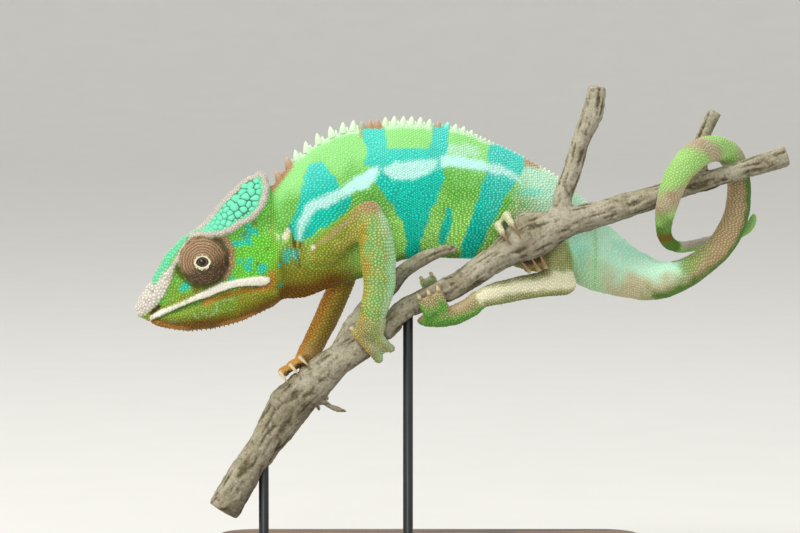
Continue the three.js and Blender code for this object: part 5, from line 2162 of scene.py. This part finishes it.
@dataclass
class Perch:
    """The cut branch with its forks, in furrowed bark."""

    voxel: float = 0.42
    closing: float = 0.4
    drawn_in: float = 0.3
    furrow: float = 0.26
    grit: float = 0.14
    pitch: float = 4.0

    def build(self, frame: Frame, finish: Material) -> Thing:
        """Makes the bark over all perch nodes.

        Args:
            finish: bark material.

        Returns:
            The piece.
        """
        names = [name for name in sorted(frame["nodes"]) if name.startswith("perch_")]
        solids = [node_mesh(frame["nodes"][name]) for name in names]
        wood = fused(solids, self.voxel, self.closing, self.closing + self.drawn_in)
        node, _ = nearest_faces(solids, wood.points)
        sawn = self._sawn(wood)
        wood.soften(np.where(sawn > 0.5, 0.1, 0.45), 16)
        relief = np.zeros(len(wood.points))
        for number in range(len(names)):
            own = node == number
            if own.sum() < 50:
                continue
            axis = Axis.of_cloud(wood.points[own], self.pitch)
            station, turn, distance = axis.locate(wood.points[own])
            girth = np.maximum(distance, 0.5)
            wrapped = [station * self.pitch / 4.5, np.cos(turn) * girth / 0.75, np.sin(turn) * girth / 0.75]
            relief[own] = Mottle(41 + number).at(np.stack(wrapped, axis=1), 1.6, 3)
        furrows = -np.abs(wood.spread(relief)) * 1.5 + 0.45
        rough = Mottle(52).at(wood.points, 1.3, 2)
        lumps = Mottle(53).at(wood.points, 7.0, 2)
        height = self.furrow * furrows + self.grit * rough + 0.3 * lumps
        height = np.minimum(height, self.drawn_in + 0.05) * (1 - 0.8 * sawn)
        held = self._held(wood, frame)
        wood.push(height * (1 - held) - 0.45 * held)
        # under marks the downward-facing bark, which the finish darkens as painted shade.
        marks = {"relief": np.clip(0.55 + 0.75 * furrows + 0.25 * rough, 0, 1), "sawn": sawn,
                 "under": ease(0.25, -0.75, wood.normals(4)[:, 2] + 0.2 * lumps) * (1 - sawn)}
        bark = make_object("bark", wood.points, wood.quads, marks, finish)
        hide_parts(*names)
        LOG.info("bark: %d faces", len(wood.quads))
        return bark

    @staticmethod
    def _held(wood: Surface, frame: Frame) -> Array:
        """Share of each point that lies under a foot.

        Args:
            wood: the branch's surface.

        Returns:
            Shares from 0 to 1.
        """
        feet = [node_mesh(frame["nodes"][name]) for name in sorted(frame["nodes"]) if name.endswith("_foot")]
        _, gap = nearest_faces(feet, wood.points, 3.0)
        return ease(1.6, 0.7, gap)

    def _sawn(self, wood: Surface) -> Array:
        """Share of each point on the four sawn ends.

        Args:
            wood: the branch's surface.

        Returns:
            Shares from 0 to 1.
        """
        normals = wood.normals(3)
        sawn = np.zeros(len(wood.points))
        for place, way, radius in (
            ((-62.4, 0, 18.3), (-0.51, 0, -0.86), 5.4), ((107.4, 0, 125.4), (0.96, 0, 0.29), 3.4),
            ((50.1, 0, 146.4), (0.16, 0, 0.98), 3.0), ((86.2, 8.8, 138.6), (0.47, 0.04, 0.87), 2.4),
        ):
            near = norm(wood.points - np.array(place), axis=1) < radius + 1.5
            facing = normals @ unit(np.array(way))
            sawn = np.maximum(sawn, near * ease(0.75, 0.93, facing))
        return sawn


@dataclass
class Stand:
    """Flat wooden base and two flanged steel rods."""

    bevel: float = 1.6
    corner: float = 12.0
    arc: int = 12

    def build(self, frame: Frame, wood: Material, steel: Material) -> list[Thing]:
        """Makes the base and the rods in their nodes' boxes.

        Args:
            wood: base material.
            steel: rod material.

        Returns:
            The pieces.
        """
        pieces = [self._base(wood)]
        for name in ("stand_rod_1", "stand_rod_2"):
            pieces.append(self._rod(name, steel))
        return pieces

    def _base(self, wood: Material) -> Thing:
        """The base: a plate with round corners and a moulded top edge."""
        low, high = (np.array(corner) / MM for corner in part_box("stand_base"))
        centre, half, height = (low + high) / 2, (high - low)[:2] / 2, high[2] - low[2]
        bend = np.linspace(0, math.pi / 2, 6)
        rounded = zip(self.bevel * (1 - np.cos(bend)), height - self.bevel * (1 - np.sin(bend)))
        profile = [(0.5, 0.0), (0.0, 0.5), *rounded]
        rings = []
        for inset, level in profile:
            for quarter, signs in enumerate(((1, 1), (-1, 1), (-1, -1), (1, -1))):
                angle = quarter * math.pi / 2 + np.linspace(0, math.pi / 2, self.arc)
                arc = (self.corner - inset) * np.stack([np.cos(angle), np.sin(angle)], axis=1)
                spots = centre[:2] + np.array(signs) * (half - self.corner) + arc
                rings.append(np.column_stack([spots, np.full(self.arc, low[2] + level)]))
        rings = np.array(rings).reshape(len(profile), -1, 3)
        points, faces = lofted(rings, rings[0].mean(0), rings[-1].mean(0))
        plate = make_object("base_plate", points, faces, {}, wood, False)
        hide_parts("stand_base")
        return plate

    def _rod(self, name: str, steel: Material) -> Thing:
        """One rod with a turned flange at its foot.

        Args:
            name: the node that it stands for.
            steel: its material.

        Returns:
            The rod.
        """
        low, high = (np.array(corner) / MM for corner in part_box(name))
        foot = (low + high) / 2 * [1, 1, 0] + low * [0, 0, 1]
        top, flange = high[2] - low[2], (high[0] - low[0]) / 2
        profile = np.array([(flange, 0.0), (flange, 0.7), (flange - 0.25, 1.0), (2.3, 1.3), (1.75, 2.0),
                            (1.5, 2.8), (1.5, top - 0.2), (1.3, top)])
        up = np.array([0.0, 0.0, 1.0])
        rings = foot + profile[:, :1, None] * wheel(40, *np.eye(3)[:2]) + profile[:, 1:, None] * up
        points, faces = lofted(rings, foot, foot + up * top)
        rod = make_object(name.replace("stand_", "steel_"), points, faces, {}, steel)
        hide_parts(name)
        return rod


@dataclass
class Studio:
    """Pale floor, soft lights and a plain surround."""

    floor_size: float = 12.0
    surround: float = 0.78

    def build(self, finish: Material) -> None:
        """Makes floor, lights and surround.

        Args:
            finish: floor material.
        """
        half, bend = self.floor_size / 2, 2.4
        line = [(-half, 0.0)] + [(3.2 + bend * math.sin(a), bend - bend * math.cos(a))
                                 for a in np.linspace(0, math.pi / 2, 24)] + [(3.2 + bend, 5.0)]
        points = [(x * half, y, z) for y, z in line for x in (-1.0, 1.0)]
        faces = [(2 * i, 2 * i + 1, 2 * i + 3, 2 * i + 2) for i in range(len(line) - 1)]
        floor = make_object("floor", np.array(points) / MM, np.array(faces), {}, finish)
        floor.location.z = -0.0002
        self._light("key", (-0.7, -0.55, 1.2), 0.5, 11.0, (1.0, 0.97, 0.93))
        self._light("fill", (-0.25, -1.35, 0.42), 0.4, 3.5, (1.0, 0.99, 0.97))
        self._light("top", (0.1, 0.3, 1.3), 0.8, 3.0, (1.0, 1.0, 1.0))
        world = bpy.data.worlds.new("surround")
        world.use_nodes = True
        world.node_tree.nodes["Background"].inputs["Color"].default_value = (1.0, 1.0, 1.0, 1.0)
        world.node_tree.nodes["Background"].inputs["Strength"].default_value = self.surround
        scene = bpy.context.scene
        scene.world = world
        scene.view_settings.view_transform = "Standard"

    @staticmethod
    def _light(name: str, place: Triple, size: float, power: float, tint: Triple) -> None:
        """Soft square light aimed at the animal.

        Args:
            name: its name.
            place: where it hangs, in metres.
            size: side of the square in metres.
            power: watts.
            tint: its colour.
        """
        data = bpy.data.lights.new(name, "AREA")
        data.size = size
        data.energy = power
        data.color = tint
        lamp = bpy.data.objects.new(name, data)
        lamp.location = place
        aim = Vector((0.0, 0.0, 0.09)) - Vector(place)
        lamp.rotation_euler = aim.to_track_quat("-Z", "Y").to_euler()
        bpy.context.scene.collection.objects.link(lamp)


# ---- main


def settle(pieces: Sequence[Thing]) -> None:
    """Gives each piece its body, and reports it.

    Args:
        pieces: finished pieces.
    """
    for piece in pieces:
        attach(piece, "root")
        LOG.info("%s placed, %d faces", piece.name, len(piece.data.polygons))


def main() -> None:
    """Builds every piece in order and reports it."""
    logging.basicConfig(level=logging.INFO, format="%(name)s: %(message)s")
    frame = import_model()
    VIEW.camera()
    Studio().build(FloorFinish().build())
    scale_finish = HideFinish().build("scales", True)
    body = Body()
    body.build(frame)
    marks = Markings(body).paint()
    skin = make_object("skin", body.skin.points, body.skin.quads, marks, HideFinish().build("skin", False))
    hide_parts(*body.nodes)
    settle([skin])
    settle(Scales(body, marks, scale_finish).build())
    settle([Crest(body, marks, scale_finish).build()])
    for side, word in ((-1, "left"), (1, "right")):
        pieces = Eye(side).build(EyeFinish().build(), scale_finish)
        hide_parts(f"eyeball_{word}")
        settle(pieces)
    settle(Claws().build(frame, ClawFinish().build()))
    settle([Perch().build(frame, BarkFinish().build())])
    settle(Stand().build(frame, BaseFinish().build(), RodFinish().build()))
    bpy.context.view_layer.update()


if __name__ == "__main__":
    main()
